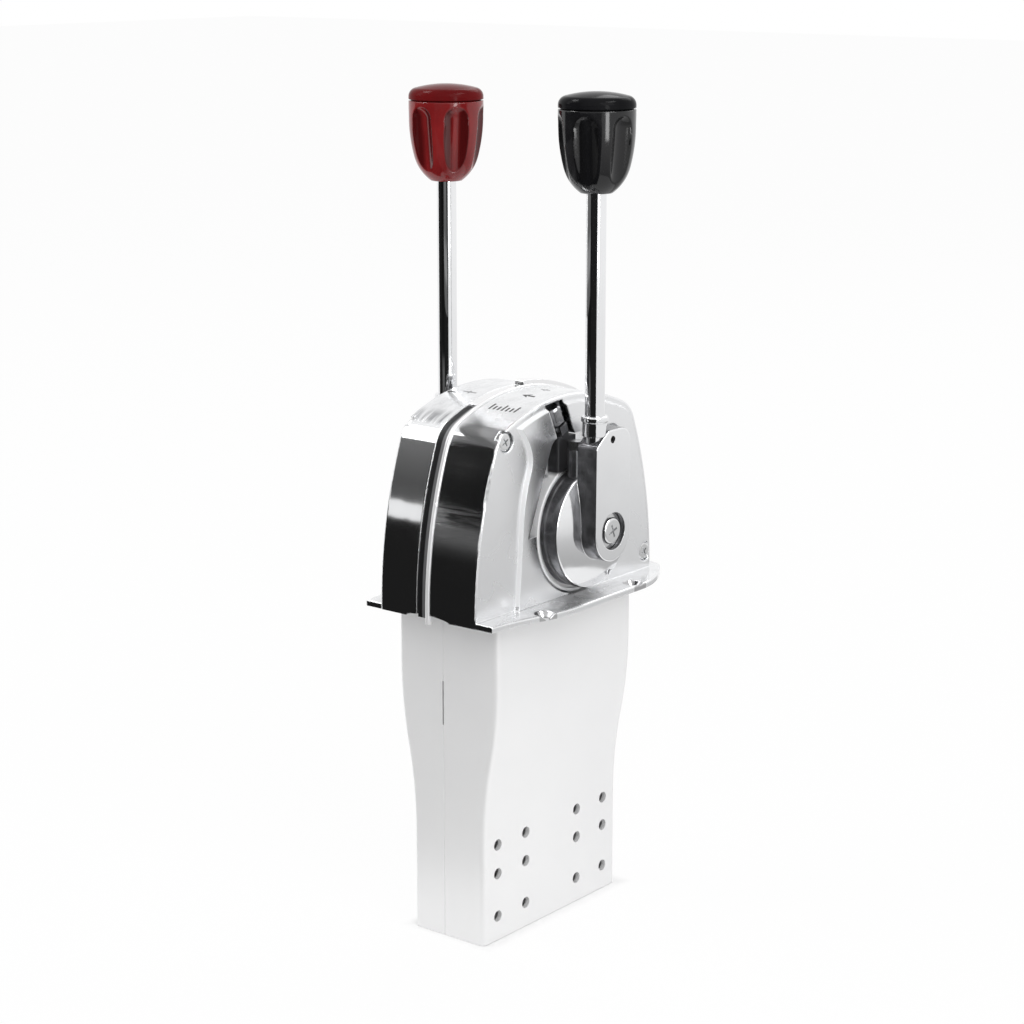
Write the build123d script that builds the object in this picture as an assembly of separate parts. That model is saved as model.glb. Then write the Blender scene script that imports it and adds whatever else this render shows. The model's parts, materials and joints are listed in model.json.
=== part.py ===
from build123d import *
import os
from math import cos, radians, sin

# Twin-lever top-mount engine control. Millimetres, +Z up, +X towards the shift side, +Y aft.
# The origin is the centre of the four deck bolts, on the underside of the deck flange.
# "Outward" is away from the middle along X: each side is modelled as the right-hand one
# and mirrored for the left. Only the seam lies off the middle, because the right-hand
# half also houses the shift detent.

# ---- driving dimensions ----
RIGHT, LEFT = 1, -1

# Chromed housing above the deck
HOUSING_HALF_WIDTH = 30.6
HOUSING_HALF_DEPTH = 73.0
HOUSING_TOP = 105.3
SIDE_RADIUS = 222.0
CROWN_RADIUS = 117.0
SHOULDER_RADIUS = 18.0
HOUSING_WALL = 3.0
EDGE_ROUND = 1.2
PLATEAU_RISE = 1.9
PLATEAU_INSET = 2.7
PLATEAU_SLOPE = 1.7, 2.6
CREASE = [(-43.5, -2.0), (-40.0, 38.9), (-35.3, 67.0), (-32.4, 76.5), (-36.9, 88.5), (-47.0, 99.0), (-58.0, 106.0)]

# Deck flange
FLANGE_THICK = 3.0
FLANGE_FRONT = -72.5
FLANGE_FRONT_HALF = 40.5
FLANGE_WAIST = (43.5, -52.0)
FLANGE_SHOULDER = (48.6, -33.0)
FLANGE_HALF = 50.0
FLANGE_REAR = 79.5
FLANGE_REAR_CORNER = (45.4, 58.0), (37.3, 72.5)
FLANGE_REAR_HALF = 25.0
FRONT_ARCH_HALF = 13.5
FRONT_ARCH_RISE = 2.0
BOLT_X = 45.0
BOLT_Y = 37.0
BOLT_HOLE_RADIUS = 2.75
BOLT_SINK_RADIUS = 5.2
WELL_WIDE_Y = (-41.0, 38.0)
WELL_LONG_Y = (-52.0, 48.0)
WELL_LONG_HALF = 20.3

# Seam: centre plate and bright bead between the two covers
SEAM_LEFT = -7.0
SEAM_BEAD_LEFT = -1.2
SEAM_BEAD_RIGHT = 1.2
PLATE_INSET = 1.2
BEAD_PROUD = 0.8
BEAD_DEPTH = 3.0
BEAD_GAP = 0.1
BEAD_TAIL = 2.6
BEAD_ROUND = 1.0
CREST_Y = (-32.0, 56.0)
CREST_STEP_Y = 5.0
CREST_RISE = 2.8
PLATE_WINDOW_Y = (-40.0, 50.0)
PLATE_WINDOW_TOP = 12.0

# Lower case in two halves
CASE_CENTRE_Y = -2.0
CASE_HALF_DEPTH = 56.0
CASE_TOP_HALF = 32.0
CASE_LOW_HALF = 23.0
CASE_BOTTOM = -172.0
CASE_BEND_TOP = -30.0
CASE_BEND_LOW = -118.0
CASE_WALL = 2.5
CASE_CORNER = 3.0
CASE_SEAM_X = -2.75
CASE_REBATE = 0.8
REBATE_GAP = 0.3
CASE_SEAM_CHAMFER = 0.4
CASE_RELIEF_DEPTH = 0.8
CASE_RELIEF_Z = (-59.0, -36.0)
CABLE_HOLE_RADIUS = 3.0
CABLE_HOLE_COLUMNS = (-44.5, -21.6, 21.6, 44.5)
CABLE_HOLE_ROWS = (-120.5, -136.0, -159.0)
TAB_THICK = 3.0
TAB_INNER_X = 20.5
TAB_LENGTH = 13.0
TAB_SCREW_X = 25.0
TAB_SCREW_INSET = 9.0
TAB_SCREW_RADIUS = 2.4
TAB_SCREW_REACH = 12.0
TAB_BOSS_RADIUS = 4.6
TAB_HEAD = 2.6

# Cover screws
FRONT_SCREW_INSET, FRONT_SCREW_Z = 24.3, 88.9
REAR_SCREW_INSET, REAR_SCREW_Z = 7.6, 12.1
COVER_SCREWS = (
    (FRONT_SCREW_INSET - HOUSING_HALF_DEPTH, FRONT_SCREW_Z),
    (HOUSING_HALF_DEPTH - REAR_SCREW_INSET, REAR_SCREW_Z),
)
COVER_RECESS_RADIUS = 5.3
COVER_RECESS_DEPTH = 3.4
COVER_HEAD_RADIUS = 4.8
COVER_HEAD_HEIGHT = 2.6
COVER_SHANK_RADIUS = 2.4
COVER_BOSS_RADIUS = 5.6
COVER_THREAD = 2.7

# Hub: shaft, bush, friction ring and lever
HUB_Y, HUB_Z = 7.5, 37.5
POCKET_FLOOR = 21.0
POCKET_WALL = 3.0
POCKET_GAP = 1.0
POCKET_TOP = 85.5
POCKET_FRONT_LOW = (-33.7, 38.0)
POCKET_FRONT_TOP = -14.0
POCKET_CORNER = 8.0
CHANNEL_WIDTH = 13.5
CHANNEL_LIP = 1.6
RING_RADIUS = 34.0
RING_NECK_RADIUS = 31.0
RING_RIM = 5.0
RING_FACE = 32.4
RING_FLOOR = 2.5
RING_STEP_RADIUS = 32.4
RING_STEP_DEPTH = 1.6
RING_SCREW_ORBIT = 20.5
RING_SCREW_RADIUS = 2.0
DRUM_RADIUS = 27.8
DRUM_GAP = 0.5
LUG_INNER = 23.0
LUG_Y = (-10.0, 5.0)
LUG_GAP = 0.8
LUG_BOSS_RADIUS = 5.2
ADJUSTER_X = 27.7
ADJUSTER_POINT = (-4.3, 86.6)
ADJUSTER_LEAN = 24.0
ADJUSTER_RADIUS = 2.5
JAM_NUT_FLATS = 9.6
JAM_NUT_HEIGHT = 5.0
ADJUSTER_HEAD_FLATS = 8.4
ADJUSTER_HEAD_GAP = 0.8
ADJUSTER_HEAD_LENGTH = 9.0
SHOE_LENGTH = 7.0
SHOE_GAP = 0.3
JOURNAL_RADIUS = 6.0
SHAFT_RADIUS = 8.0
SHAFT_END = 44.0
SPIGOT_RADIUS = 4.0
SPIGOT_LENGTH = 2.7
END_PLAY = 0.3
RUNNING = 0.05
BUSH_RADIUS = 9.0
BUSH_FLANGE_RADIUS = 11.5
BUSH_FLANGE = 1.2
BUSH_BOSS_RADIUS = 13.0
BUSH_BOSS_INNER = 15.6

# Crank inside the case and the cable swivel on it
CRANK_X = (10.0, 14.0)
CRANK_THROW = 48.0
CRANK_SHORT_THROW = 36.0
CRANK_HUB_RADIUS = 12.0
CRANK_TIP_RADIUS = 8.0
CRANK_FLATS = 10.0
SWIVEL_PIN_RADIUS = 3.0
SWIVEL_RADIUS = 5.5
SWIVEL_LENGTH = 5.6
SWIVEL_CABLE_RADIUS = 2.1
CLIP_THICK = 1.0

# Shift detent, right-hand side only
SECTOR_X = (2.0, 5.0)
SECTOR_RADIUS = 22.0
SECTOR_NOTCH_ANGLES = (-38.0, 0.0, 38.0)
NOTCH_DEPTH = 2.2
NOTCH_HALF = 2.6
LEAF_THICK = 0.8
LEAF_CLEAR = 1.2
LEAF_X = (1.6, 5.4)
LEAF_START_Y = -24.0
LEAF_END_Y = 16.0
POST_Y = (-27.0, -17.0)
POST_HEIGHT = 6.0
LEAF_SCREW_RADIUS = 1.5
LEAF_SCREW_HEAD = (2.8, 2.0)

# Lever
DISC_BACK = 31.5
DISC_FACE = 41.5
DISC_RADIUS = 30.8
DISC_DOME = 4.5
ARM_FACE = 54.0
ARM_FRONT_LOW = -7.2
ARM_FRONT_TOP = -6.8
ARM_REAR = 21.6
ARM_FOOT_DROP = 1.0
ARM_FOOT_RADIUS = 14.6
ARM_CHAMFER_START = 82.0
ARM_CHAMFER_END = (3.5, 89.5)
ARM_REAR_CORNER = 8.0
PIVOT_BORE_RADIUS = 9.6
PIVOT_BORE_DEPTH = 4.0
PIVOT_SCREW_RADIUS = 4.0
PIVOT_HEAD_RADIUS = 6.8
PIVOT_HEAD_HEIGHT = 2.6
PIVOT_SCREW_LENGTH = 18.0
WASHER_THICK = 1.2
LOCK_X, LOCK_Y = 37.5, -2.6
LOCK_BOSS_RADIUS = 4.0
LOCK_BOSS_Z = (60.5, 78.8)
LOCK_SCREW_RADIUS = 3.0
LOCK_HEAD_FLATS = 7.4
LOCK_HEAD_HEIGHT = 4.5
LOCK_SCREW_BOTTOM = 14.0

# Rod, collar and knob
ROD_X = 47.3
ROD_RADIUS = 5.0
ROD_BOTTOM = 56.0
COLLAR_BOTTOM = 86.6
COLLAR_RADIUS = 6.1
COLLAR_RIM_RADIUS = 6.8
COLLAR_RIM_Z = (93.6, 96.8)
ROD_SCREW_Y, ROD_SCREW_Z = 6.4, 84.4
ROD_SCREW_RADIUS = 1.9
KNOB_BOTTOM = 206.5
KNOB_PARTING = 246.6
KNOB_GROOVE = 0.7
KNOB_TOP = 254.9
KNOB_RADIUS = 18.9
KNOB_STRAIGHT = 238.0
KNOB_BELLY = (16.4, 218.9)
KNOB_CROWN_RADIUS = 60.0
KNOB_SHOULDER = 4.5
KNOB_FOOT_RADIUS = 8.0
INSERT_RADIUS = 6.6
INSERT_Z = (208.5, 222.5)
FLUTES = 6
FLUTE_TOP = 247.4
FLUTE_ROUND = 9.0
FLUTE_RADIUS = 13.0
FLUTE_DEPTH = 2.5
FLUTE_LEAN = 4.0
FLUTE_FIRST = {RIGHT: -11.0, LEFT: -31.0}


# ---- helpers ----
def slab(sketch, x_start, x_end):
    """A sketch drawn in (Y, Z), extruded outward from x_start to x_end."""
    return extrude(Plane.YZ.offset(x_start) * sketch, amount=x_end - x_start, dir=(1, 0, 0))


def hub_disc(x_start, x_end, radius):
    """A disc on the lever shaft's axis."""
    return slab(Pos(HUB_Y, HUB_Z) * Circle(radius), x_start, x_end)


def rod_z(x, y, z_start, z_end, radius):
    """A vertical cylinder."""
    return Pos(x, y, (z_start + z_end) / 2) * Cylinder(radius, z_end - z_start)


def hexagon(flats):
    """A hexagon with two of its flats facing out along X."""
    return Rot(0, 0, 30) * RegularPolygon(flats / 2, 6, major_radius=False)


def placed(shape, side):
    return shape if side == RIGHT else mirror(shape, about=Plane.YZ)


def write(node, shape):
    export_step(shape, "parts/" + node + ".step")


def side_name(side):
    return "right" if side == RIGHT else "left"


# Distance outward from the middle to each cover's inner face and to the centre plate's face
COVER_INNER = {RIGHT: SEAM_BEAD_RIGHT, LEFT: -SEAM_LEFT}
PLATE_FACE = {RIGHT: SEAM_BEAD_LEFT, LEFT: -SEAM_LEFT}
PLATEAU_FACE = HOUSING_HALF_WIDTH + PLATEAU_RISE


# ---- housing ----
def housing_outline(inset, floor):
    """The housing's side view: two side arcs under a crown arc with rounded shoulders."""
    centre = SIDE_RADIUS - HOUSING_HALF_DEPTH
    area = Pos(-centre, FLANGE_THICK) * Circle(SIDE_RADIUS - inset)
    area &= Pos(centre, FLANGE_THICK) * Circle(SIDE_RADIUS - inset)
    area &= Pos(0, HOUSING_TOP - CROWN_RADIUS) * Circle(CROWN_RADIUS - inset)
    area &= Pos(0, floor + HOUSING_TOP) * Rectangle(4 * HOUSING_HALF_DEPTH, 2 * HOUSING_TOP)
    shoulders = area.vertices().sort_by(Axis.Y)[-2:]
    return fillet(shoulders, SHOULDER_RADIUS - inset)


def flange_outline():
    """The deck flange from above, both halves: square at the front, rounded aft."""
    edge = Line((0, FLANGE_FRONT), (FLANGE_FRONT_HALF, FLANGE_FRONT))
    hip = (FLANGE_HALF, BOLT_Y / 3)
    flank = Spline(edge @ 1, FLANGE_WAIST, FLANGE_SHOULDER, hip, tangents=[(0.1, 1), (0, 1)])
    aft = Line(hip, (FLANGE_HALF, BOLT_Y))
    corner = Spline(
        aft @ 1, *FLANGE_REAR_CORNER, (FLANGE_REAR_HALF, FLANGE_REAR), tangents=[(0, 1), (-1, 0)]
    )
    rear = Line(corner @ 1, (0, FLANGE_REAR))
    middle = Line((0, FLANGE_REAR), (0, FLANGE_FRONT))
    half = make_face([edge, flank, aft, corner, rear, middle])
    return half + mirror(half, about=Plane.YZ)


def pocket_outline(grow):
    """The hollow in the side wall that the friction ring and its lug stand in."""
    rear = HUB_Y + RING_RADIUS + POCKET_GAP
    upper = Polygon(
        POCKET_FRONT_LOW, (rear, HUB_Z), (rear, POCKET_TOP), (POCKET_FRONT_TOP, POCKET_TOP), align=None
    )
    upper = fillet(upper.vertices().sort_by(Axis.Y)[-2:], POCKET_CORNER)
    outline = upper + Pos(HUB_Y, HUB_Z) * Circle(RING_RADIUS + POCKET_GAP)
    lean = Pos(*ADJUSTER_POINT) * Rot(0, 0, ADJUSTER_LEAN) * Rectangle(CHANNEL_WIDTH, 2 * CHANNEL_WIDTH * 2)
    outline += lean & housing_outline(CHANNEL_LIP, HUB_Z)
    return offset(outline, grow, kind=Kind.INTERSECTION) if grow else outline


def plateau():
    """The raised part of the side face, aft of the crease."""
    crease = Spline(*CREASE)
    frame = Polyline(CREASE[-1], (2 * HOUSING_HALF_DEPTH, CREASE[-1][1]), (2 * HOUSING_HALF_DEPTH, CREASE[0][1]), CREASE[0])
    region = make_face([crease, frame]) & housing_outline(PLATEAU_INSET, FLANGE_THICK / 2)
    body = slab(region, HOUSING_HALF_WIDTH - EDGE_ROUND, PLATEAU_FACE)
    top = body.faces().sort_by(Axis.X)[-1]
    rim = top.edges().filter_by(lambda e: e.center().Z > FLANGE_THICK)
    return chamfer(rim, *PLATEAU_SLOPE, reference=top)


def case_rebate():
    """The shallow step in the flange's underside that the lower case's rim sits in."""
    return Pos(0, CASE_CENTRE_Y, 0) * Box(
        2 * (CASE_TOP_HALF + REBATE_GAP), 2 * (CASE_HALF_DEPTH + REBATE_GAP), 2 * CASE_REBATE
    )


def tab_screw_places():
    front = CASE_CENTRE_Y - CASE_HALF_DEPTH + TAB_SCREW_INSET
    rear = CASE_CENTRE_Y + CASE_HALF_DEPTH - TAB_SCREW_INSET
    return [(TAB_SCREW_X, front), (TAB_SCREW_X, rear)]


def cover_recess_floor(place):
    """Outward position of the floor of a cover screw's recess."""
    on_plateau = place[0] > CREASE[0][0]
    face = PLATEAU_FACE if on_plateau else HOUSING_HALF_WIDTH
    return face - COVER_RECESS_DEPTH


def cover(side):
    inner = COVER_INNER[side]
    flange_inner = PLATE_FACE[side]
    cavity_face = HOUSING_HALF_WIDTH - HOUSING_WALL
    body = slab(housing_outline(0, 0), inner, HOUSING_HALF_WIDTH)
    rim = body.faces().sort_by(Axis.X)[-1].edges().filter_by(lambda e: e.center().Z > FLANGE_THICK)
    body = fillet(rim, EDGE_ROUND) + plateau()
    body -= slab(housing_outline(HOUSING_WALL, FLANGE_THICK), inner - 1, cavity_face)

    inside = slab(housing_outline(HOUSING_WALL / 2, 0), inner, HOUSING_HALF_WIDTH - EDGE_ROUND)
    backing = slab(pocket_outline(POCKET_WALL), POCKET_FLOOR - POCKET_WALL, HOUSING_HALF_WIDTH - EDGE_ROUND)
    body += backing & inside
    body += hub_disc(BUSH_BOSS_INNER, POCKET_FLOOR, BUSH_BOSS_RADIUS)
    for place in COVER_SCREWS:
        boss = slab(Pos(*place) * Circle(COVER_BOSS_RADIUS), inner, cavity_face + 1)
        body += boss & inside
    for x, y in tab_screw_places():
        body += rod_z(x, y, 0, TAB_SCREW_REACH, TAB_BOSS_RADIUS) & inside

    plate = extrude(flange_outline(), amount=FLANGE_THICK)
    plate &= Pos(flange_inner + FLANGE_HALF, 0, 0) * Box(2 * FLANGE_HALF, 4 * FLANGE_REAR, 4 * FLANGE_THICK)
    edges = plate.edges().group_by(Axis.Z)[-1].filter_by(lambda e: e.center().X > flange_inner + 0.5)
    body += fillet(edges, FLANGE_THICK / 4)

    long_well = Pos(0, sum(WELL_LONG_Y) / 2, 0) * Box(
        2 * WELL_LONG_HALF, WELL_LONG_Y[1] - WELL_LONG_Y[0], 2 * FLANGE_THICK
    )
    wide_well = Pos(0, sum(WELL_WIDE_Y) / 2, 0) * Box(
        2 * cavity_face, WELL_WIDE_Y[1] - WELL_WIDE_Y[0], 2 * FLANGE_THICK
    )
    body -= long_well + wide_well + case_rebate()
    arch = Pos(0, HOUSING_WALL - HOUSING_HALF_DEPTH, 0) * Rot(90, 0, 0) * scale(
        Cylinder(FRONT_ARCH_HALF, 4 * HOUSING_WALL), by=(1, FRONT_ARCH_RISE / FRONT_ARCH_HALF, 1)
    )
    body -= arch
    if side == RIGHT:
        for end in (-1, 1):
            middle = end * (HOUSING_HALF_DEPTH + BEAD_PROUD - BEAD_DEPTH / 2)
            body -= Pos(0, middle, 0) * Box(2 * SEAM_BEAD_RIGHT, BEAD_DEPTH + 2 * BEAD_GAP, 2 * FLANGE_THICK)

    body -= slab(pocket_outline(0), POCKET_FLOOR, PLATEAU_FACE + 1)
    body -= hub_disc(BUSH_BOSS_INNER - 1, POCKET_FLOOR + 1, BUSH_RADIUS)
    for place in COVER_SCREWS:
        body -= slab(Pos(*place) * Circle(COVER_RECESS_RADIUS), cover_recess_floor(place), PLATEAU_FACE + 1)
        body -= slab(Pos(*place) * Circle(COVER_SHANK_RADIUS), inner - 1, PLATEAU_FACE)
    for x, y in tab_screw_places():
        body -= rod_z(x, y, -1, TAB_SCREW_REACH - 2, TAB_SCREW_RADIUS)
    for angle in range(3):
        body -= ring_screw_shank(angle, POCKET_FLOOR - POCKET_WALL - 1)
    for y in (-BOLT_Y, BOLT_Y):
        body -= rod_z(BOLT_X, y, -1, FLANGE_THICK + 1, BOLT_HOLE_RADIUS)
        sink = BOLT_SINK_RADIUS - BOLT_HOLE_RADIUS
        body -= Pos(BOLT_X, y, FLANGE_THICK - sink / 2) * Cone(BOLT_HOLE_RADIUS, BOLT_SINK_RADIUS, sink)
    return body


def seam_bead():
    """The bright bead that follows the seam up, over and down, with both tails below the flange."""
    strip = housing_outline(-BEAD_PROUD, -BEAD_TAIL)
    strip -= housing_outline(BEAD_DEPTH - BEAD_PROUD, -BEAD_TAIL - 1)
    bead = slab(strip, SEAM_BEAD_LEFT, SEAM_BEAD_RIGHT)
    outer = [radius + BEAD_PROUD for radius in (SIDE_RADIUS, SHOULDER_RADIUS, CROWN_RADIUS)]
    arcs = bead.edges().filter_by(GeomType.CIRCLE)
    return fillet([e for e in arcs if min(abs(e.radius - r) for r in outer) < 0.01], BEAD_ROUND)


def crest_strip():
    """Bright strip that fills the groove over the crest, and stands up as a rib behind it."""
    groove = housing_outline(0, 0) - housing_outline(PLATE_INSET, -1)
    rib = housing_outline(-CREST_RISE, 0) - housing_outline(PLATE_INSET, -1)
    front, rear = CREST_Y
    flush = groove & Pos((front + CREST_STEP_Y) / 2, HOUSING_TOP) * Rectangle(CREST_STEP_Y - front, HOUSING_TOP)
    raised = rib & Pos((rear + CREST_STEP_Y) / 2, HOUSING_TOP) * Rectangle(rear - CREST_STEP_Y, HOUSING_TOP)
    body = slab(flush + raised, SEAM_LEFT, SEAM_BEAD_LEFT)
    ends = body.edges().filter_by(Axis.X).group_by(Axis.Z)
    top = [e for group in ends for e in group if on_rib_top(e)]
    return fillet(top, CREST_RISE / 3)


def on_rib_top(edge):
    """True for the two upper edges that close the rib's ends."""
    y, z = edge.center().Y, edge.center().Z
    crest = HOUSING_TOP - CROWN_RADIUS
    return y >= CREST_STEP_Y - 0.01 and abs((y**2 + (z - crest) ** 2) ** 0.5 - CROWN_RADIUS - CREST_RISE) < 0.05


def centre_plate():
    body = slab(housing_outline(PLATE_INSET, 0), SEAM_LEFT, SEAM_BEAD_LEFT)
    window_y = PLATE_WINDOW_Y
    window = Pos(sum(window_y) / 2, 0) * Rectangle(window_y[1] - window_y[0], 2 * PLATE_WINDOW_TOP)
    body -= slab(window, SEAM_LEFT - 1, SEAM_BEAD_LEFT + 1)
    tail = extrude(flange_outline(), amount=FLANGE_THICK - EDGE_ROUND)
    tail &= Pos((SEAM_LEFT + SEAM_BEAD_LEFT) / 2, FLANGE_REAR, 0) * Box(
        SEAM_BEAD_LEFT - SEAM_LEFT, 2 * (FLANGE_REAR - HOUSING_HALF_DEPTH + 4), 4 * FLANGE_THICK
    )
    body += tail
    body -= case_rebate()
    body -= hub_disc(SEAM_LEFT - 1, SEAM_BEAD_LEFT + 1, SPIGOT_RADIUS + RUNNING)
    for place in COVER_SCREWS:
        body -= slab(Pos(*place) * Circle(COVER_SHANK_RADIUS), SEAM_LEFT - 1, SEAM_BEAD_LEFT + 1)
    post = Pos(sum(POST_Y) / 2, leaf_seat() - POST_HEIGHT / 2) * Rectangle(POST_Y[1] - POST_Y[0], POST_HEIGHT)
    body += slab(post, SEAM_BEAD_LEFT, LEAF_X[1])
    body -= rod_z(sum(LEAF_X) / 2, sum(POST_Y) / 2, leaf_seat() - POST_HEIGHT, leaf_seat() + 1, LEAF_SCREW_RADIUS)
    return body


# ---- lower case ----
def case_profile(thin):
    """The half case's end view: straight, a long S inward, straight down to the rim."""
    top, low = CASE_TOP_HALF - thin, CASE_LOW_HALF - thin
    middle = ((top + low) / 2, (CASE_BEND_TOP + CASE_BEND_LOW) / 2)
    reach = 1 if thin else 0
    rim = CASE_REBATE + reach
    upper = TangentArc((top, CASE_BEND_TOP), middle, tangent=(0, -1))
    lower = TangentArc((low, CASE_BEND_LOW), middle, tangent=(0, 1))
    outline = [
        Line((top, rim), (top, CASE_BEND_TOP)),
        upper,
        lower,
        Line((low, CASE_BEND_LOW), (low, CASE_BOTTOM - reach)),
        Line((low, CASE_BOTTOM - reach), (-CASE_TOP_HALF, CASE_BOTTOM - reach)),
        Line((-CASE_TOP_HALF, CASE_BOTTOM - reach), (-CASE_TOP_HALF, rim)),
        Line((-CASE_TOP_HALF, rim), (top, rim)),
    ]
    return make_face(outline)


def case_block(thin):
    depth = CASE_HALF_DEPTH - thin
    plane = Plane.XZ.offset(depth - CASE_CENTRE_Y)
    return extrude(plane * case_profile(thin), amount=-2 * depth)


def case(side):
    seam = side * CASE_SEAM_X
    outer = case_block(0)
    corners = outer.faces().filter_by(Axis.Y)
    outline = [e for f in corners for e in f.edges() if e.center().X > 0.5 * CASE_LOW_HALF and e.length > TAB_THICK]
    outline = [e for e in outline if abs(e.center().Z) > 1 and e.center().Z > CASE_BOTTOM + 1]
    body = fillet(outline, CASE_CORNER) - case_block(CASE_WALL)
    for front, y_wall in ((True, CASE_CENTRE_Y - CASE_HALF_DEPTH), (False, CASE_CENTRE_Y + CASE_HALF_DEPTH)):
        y = y_wall + (TAB_LENGTH / 2 if front else -TAB_LENGTH / 2)
        tab_half = (CASE_TOP_HALF - CASE_WALL / 2 - TAB_INNER_X) / 2
        y += CASE_WALL / 2 if front else -CASE_WALL / 2
        body += Pos(TAB_INNER_X + tab_half, y, CASE_REBATE - TAB_THICK / 2) * Box(2 * tab_half, TAB_LENGTH, TAB_THICK)
    for x, y in tab_screw_places():
        body -= rod_z(x, y, -TAB_THICK - 1, CASE_REBATE + 1, TAB_SCREW_RADIUS)
    for y in CABLE_HOLE_COLUMNS:
        for z in CABLE_HOLE_ROWS:
            hole = Pos(CASE_CENTRE_Y + y, z) * Circle(CABLE_HOLE_RADIUS)
            body -= slab(hole, CASE_LOW_HALF / 2, CASE_LOW_HALF + 1)
    keep = Pos(seam + CASE_TOP_HALF, CASE_CENTRE_Y, CASE_BOTTOM / 2) * Box(
        2 * CASE_TOP_HALF, 3 * CASE_HALF_DEPTH, 3 * abs(CASE_BOTTOM)
    )
    body &= keep
    edges = body.edges().filter_by(
        lambda e: abs(e.center().X - seam) < 0.01
        and abs(abs(e.center().Y - CASE_CENTRE_Y) - CASE_HALF_DEPTH) < 0.01
        and e.length > CASE_HALF_DEPTH
    )
    body = chamfer(edges, CASE_SEAM_CHAMFER)
    if side == LEFT:
        low, high = CASE_RELIEF_Z
        body -= Pos(seam, CASE_CENTRE_Y - CASE_HALF_DEPTH, (low + high) / 2) * Box(
            2 * CASE_RELIEF_DEPTH, 4 * CASE_WALL, high - low
        )
    return body


def case_screws():
    """Four screws up through the case tabs into the covers, two a side."""
    screws = []
    for side in (RIGHT, LEFT):
        for x, y in tab_screw_places():
            seat = CASE_REBATE - TAB_THICK
            screw = rod_z(x, y, seat, TAB_SCREW_REACH - 3, TAB_SCREW_RADIUS)
            screw += rod_z(x, y, seat - TAB_HEAD, seat, 1.8 * TAB_SCREW_RADIUS)
            screws.append(placed(screw, side))
    return Compound(children=screws)


def cross_recess(radius, depth):
    """A cross-shaped driver recess, cut downward from z = 0."""
    bar = Box(2 * radius, radius / 3, 2 * depth)
    return bar + Rot(0, 0, 90) * bar


def cover_screws():
    """Two screws a side, through the covers into the centre plate."""
    screws = []
    for side in (RIGHT, LEFT):
        for place in COVER_SCREWS:
            floor = cover_recess_floor(place)
            head = slab(Pos(*place) * Circle(COVER_HEAD_RADIUS), floor, floor + COVER_HEAD_HEIGHT)
            top = head.edges().group_by(Axis.X)[-1]
            head = fillet(top, COVER_HEAD_HEIGHT / 2)
            head += slab(Pos(*place) * Circle(COVER_SHANK_RADIUS), PLATE_FACE[side] - COVER_THREAD, floor)
            slot = Plane((floor + COVER_HEAD_HEIGHT, *place), x_dir=(0, 1, 0), z_dir=(1, 0, 0))
            head -= slot * Rot(0, 0, 30) * cross_recess(COVER_HEAD_RADIUS / 2, COVER_HEAD_HEIGHT / 2)
            screws.append(placed(head, side))
    return Compound(children=screws)


# ---- hub, fixed side ----
def ring_screw_shank(index, inner):
    angle = radians(90 + 120 * index + 60)
    centre = (HUB_Y + RING_SCREW_ORBIT * cos(angle), HUB_Z + RING_SCREW_ORBIT * sin(angle))
    return slab(Pos(*centre) * Circle(RING_SCREW_RADIUS), inner, POCKET_FLOOR + RING_FLOOR)


def ring_screw_head(index):
    angle = radians(90 + 120 * index + 60)
    centre = Vector(POCKET_FLOOR + RING_FLOOR, HUB_Y + RING_SCREW_ORBIT * cos(angle), HUB_Z + RING_SCREW_ORBIT * sin(angle))
    height = RING_SCREW_RADIUS
    plane = Plane(centre - Vector(height / 2, 0, 0), x_dir=(0, 1, 0), z_dir=(1, 0, 0))
    return plane * Cone(RING_SCREW_RADIUS, 2 * RING_SCREW_RADIUS, height)


def ring_screws():
    screws = []
    for index in range(3):
        screws.append(ring_screw_shank(index, POCKET_FLOOR - POCKET_WALL) + ring_screw_head(index))
    return Compound(children=screws)


def adjuster_plane(distance):
    """Plane across the adjuster's axis, a distance up from its reference point."""
    up = Vector(0, -sin(radians(ADJUSTER_LEAN)), cos(radians(ADJUSTER_LEAN)))
    origin = Vector(ADJUSTER_X, *ADJUSTER_POINT) + up * distance
    return Plane(origin, x_dir=(1, 0, 0), z_dir=up)


def friction_ring():
    body = hub_disc(POCKET_FLOOR, RING_FACE, RING_NECK_RADIUS)
    rim = hub_disc(RING_FACE - RING_RIM, RING_FACE, RING_RADIUS)
    body += fillet(rim.edges().group_by(Axis.X)[-1], EDGE_ROUND / 2)
    lug_bottom, lug_top = HUB_Z + DRUM_RADIUS, POCKET_TOP - LUG_GAP
    lug = Pos(sum(LUG_Y) / 2, (lug_bottom + lug_top) / 2) * Rectangle(LUG_Y[1] - LUG_Y[0], lug_top - lug_bottom)
    lug = slab(lug, LUG_INNER, RING_FACE)
    lug = fillet(lug.edges().filter_by(Axis.Z), EDGE_ROUND)
    lug -= extrude(adjuster_plane(0) * Rectangle(HOUSING_TOP, HOUSING_TOP), amount=HOUSING_TOP)
    boss = extrude(adjuster_plane(0) * Circle(LUG_BOSS_RADIUS), amount=-2 * LUG_BOSS_RADIUS)
    boss &= slab(Pos(HUB_Y, HUB_Z) * Circle(HOUSING_TOP), LUG_INNER, RING_FACE)
    body += lug + boss
    body -= hub_disc(POCKET_FLOOR + RING_FLOOR, RING_FACE + 1, DRUM_RADIUS + DRUM_GAP)
    body -= hub_disc(RING_FACE - RING_STEP_DEPTH, RING_FACE + 1, RING_STEP_RADIUS)
    body -= hub_disc(POCKET_FLOOR - 1, RING_FACE, SHAFT_RADIUS + 2)
    body -= extrude(adjuster_plane(1) * Circle(ADJUSTER_RADIUS), amount=-HUB_Z)
    for index in range(3):
        body -= ring_screw_shank(index, POCKET_FLOOR - 1) + ring_screw_head(index)
    return body


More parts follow.
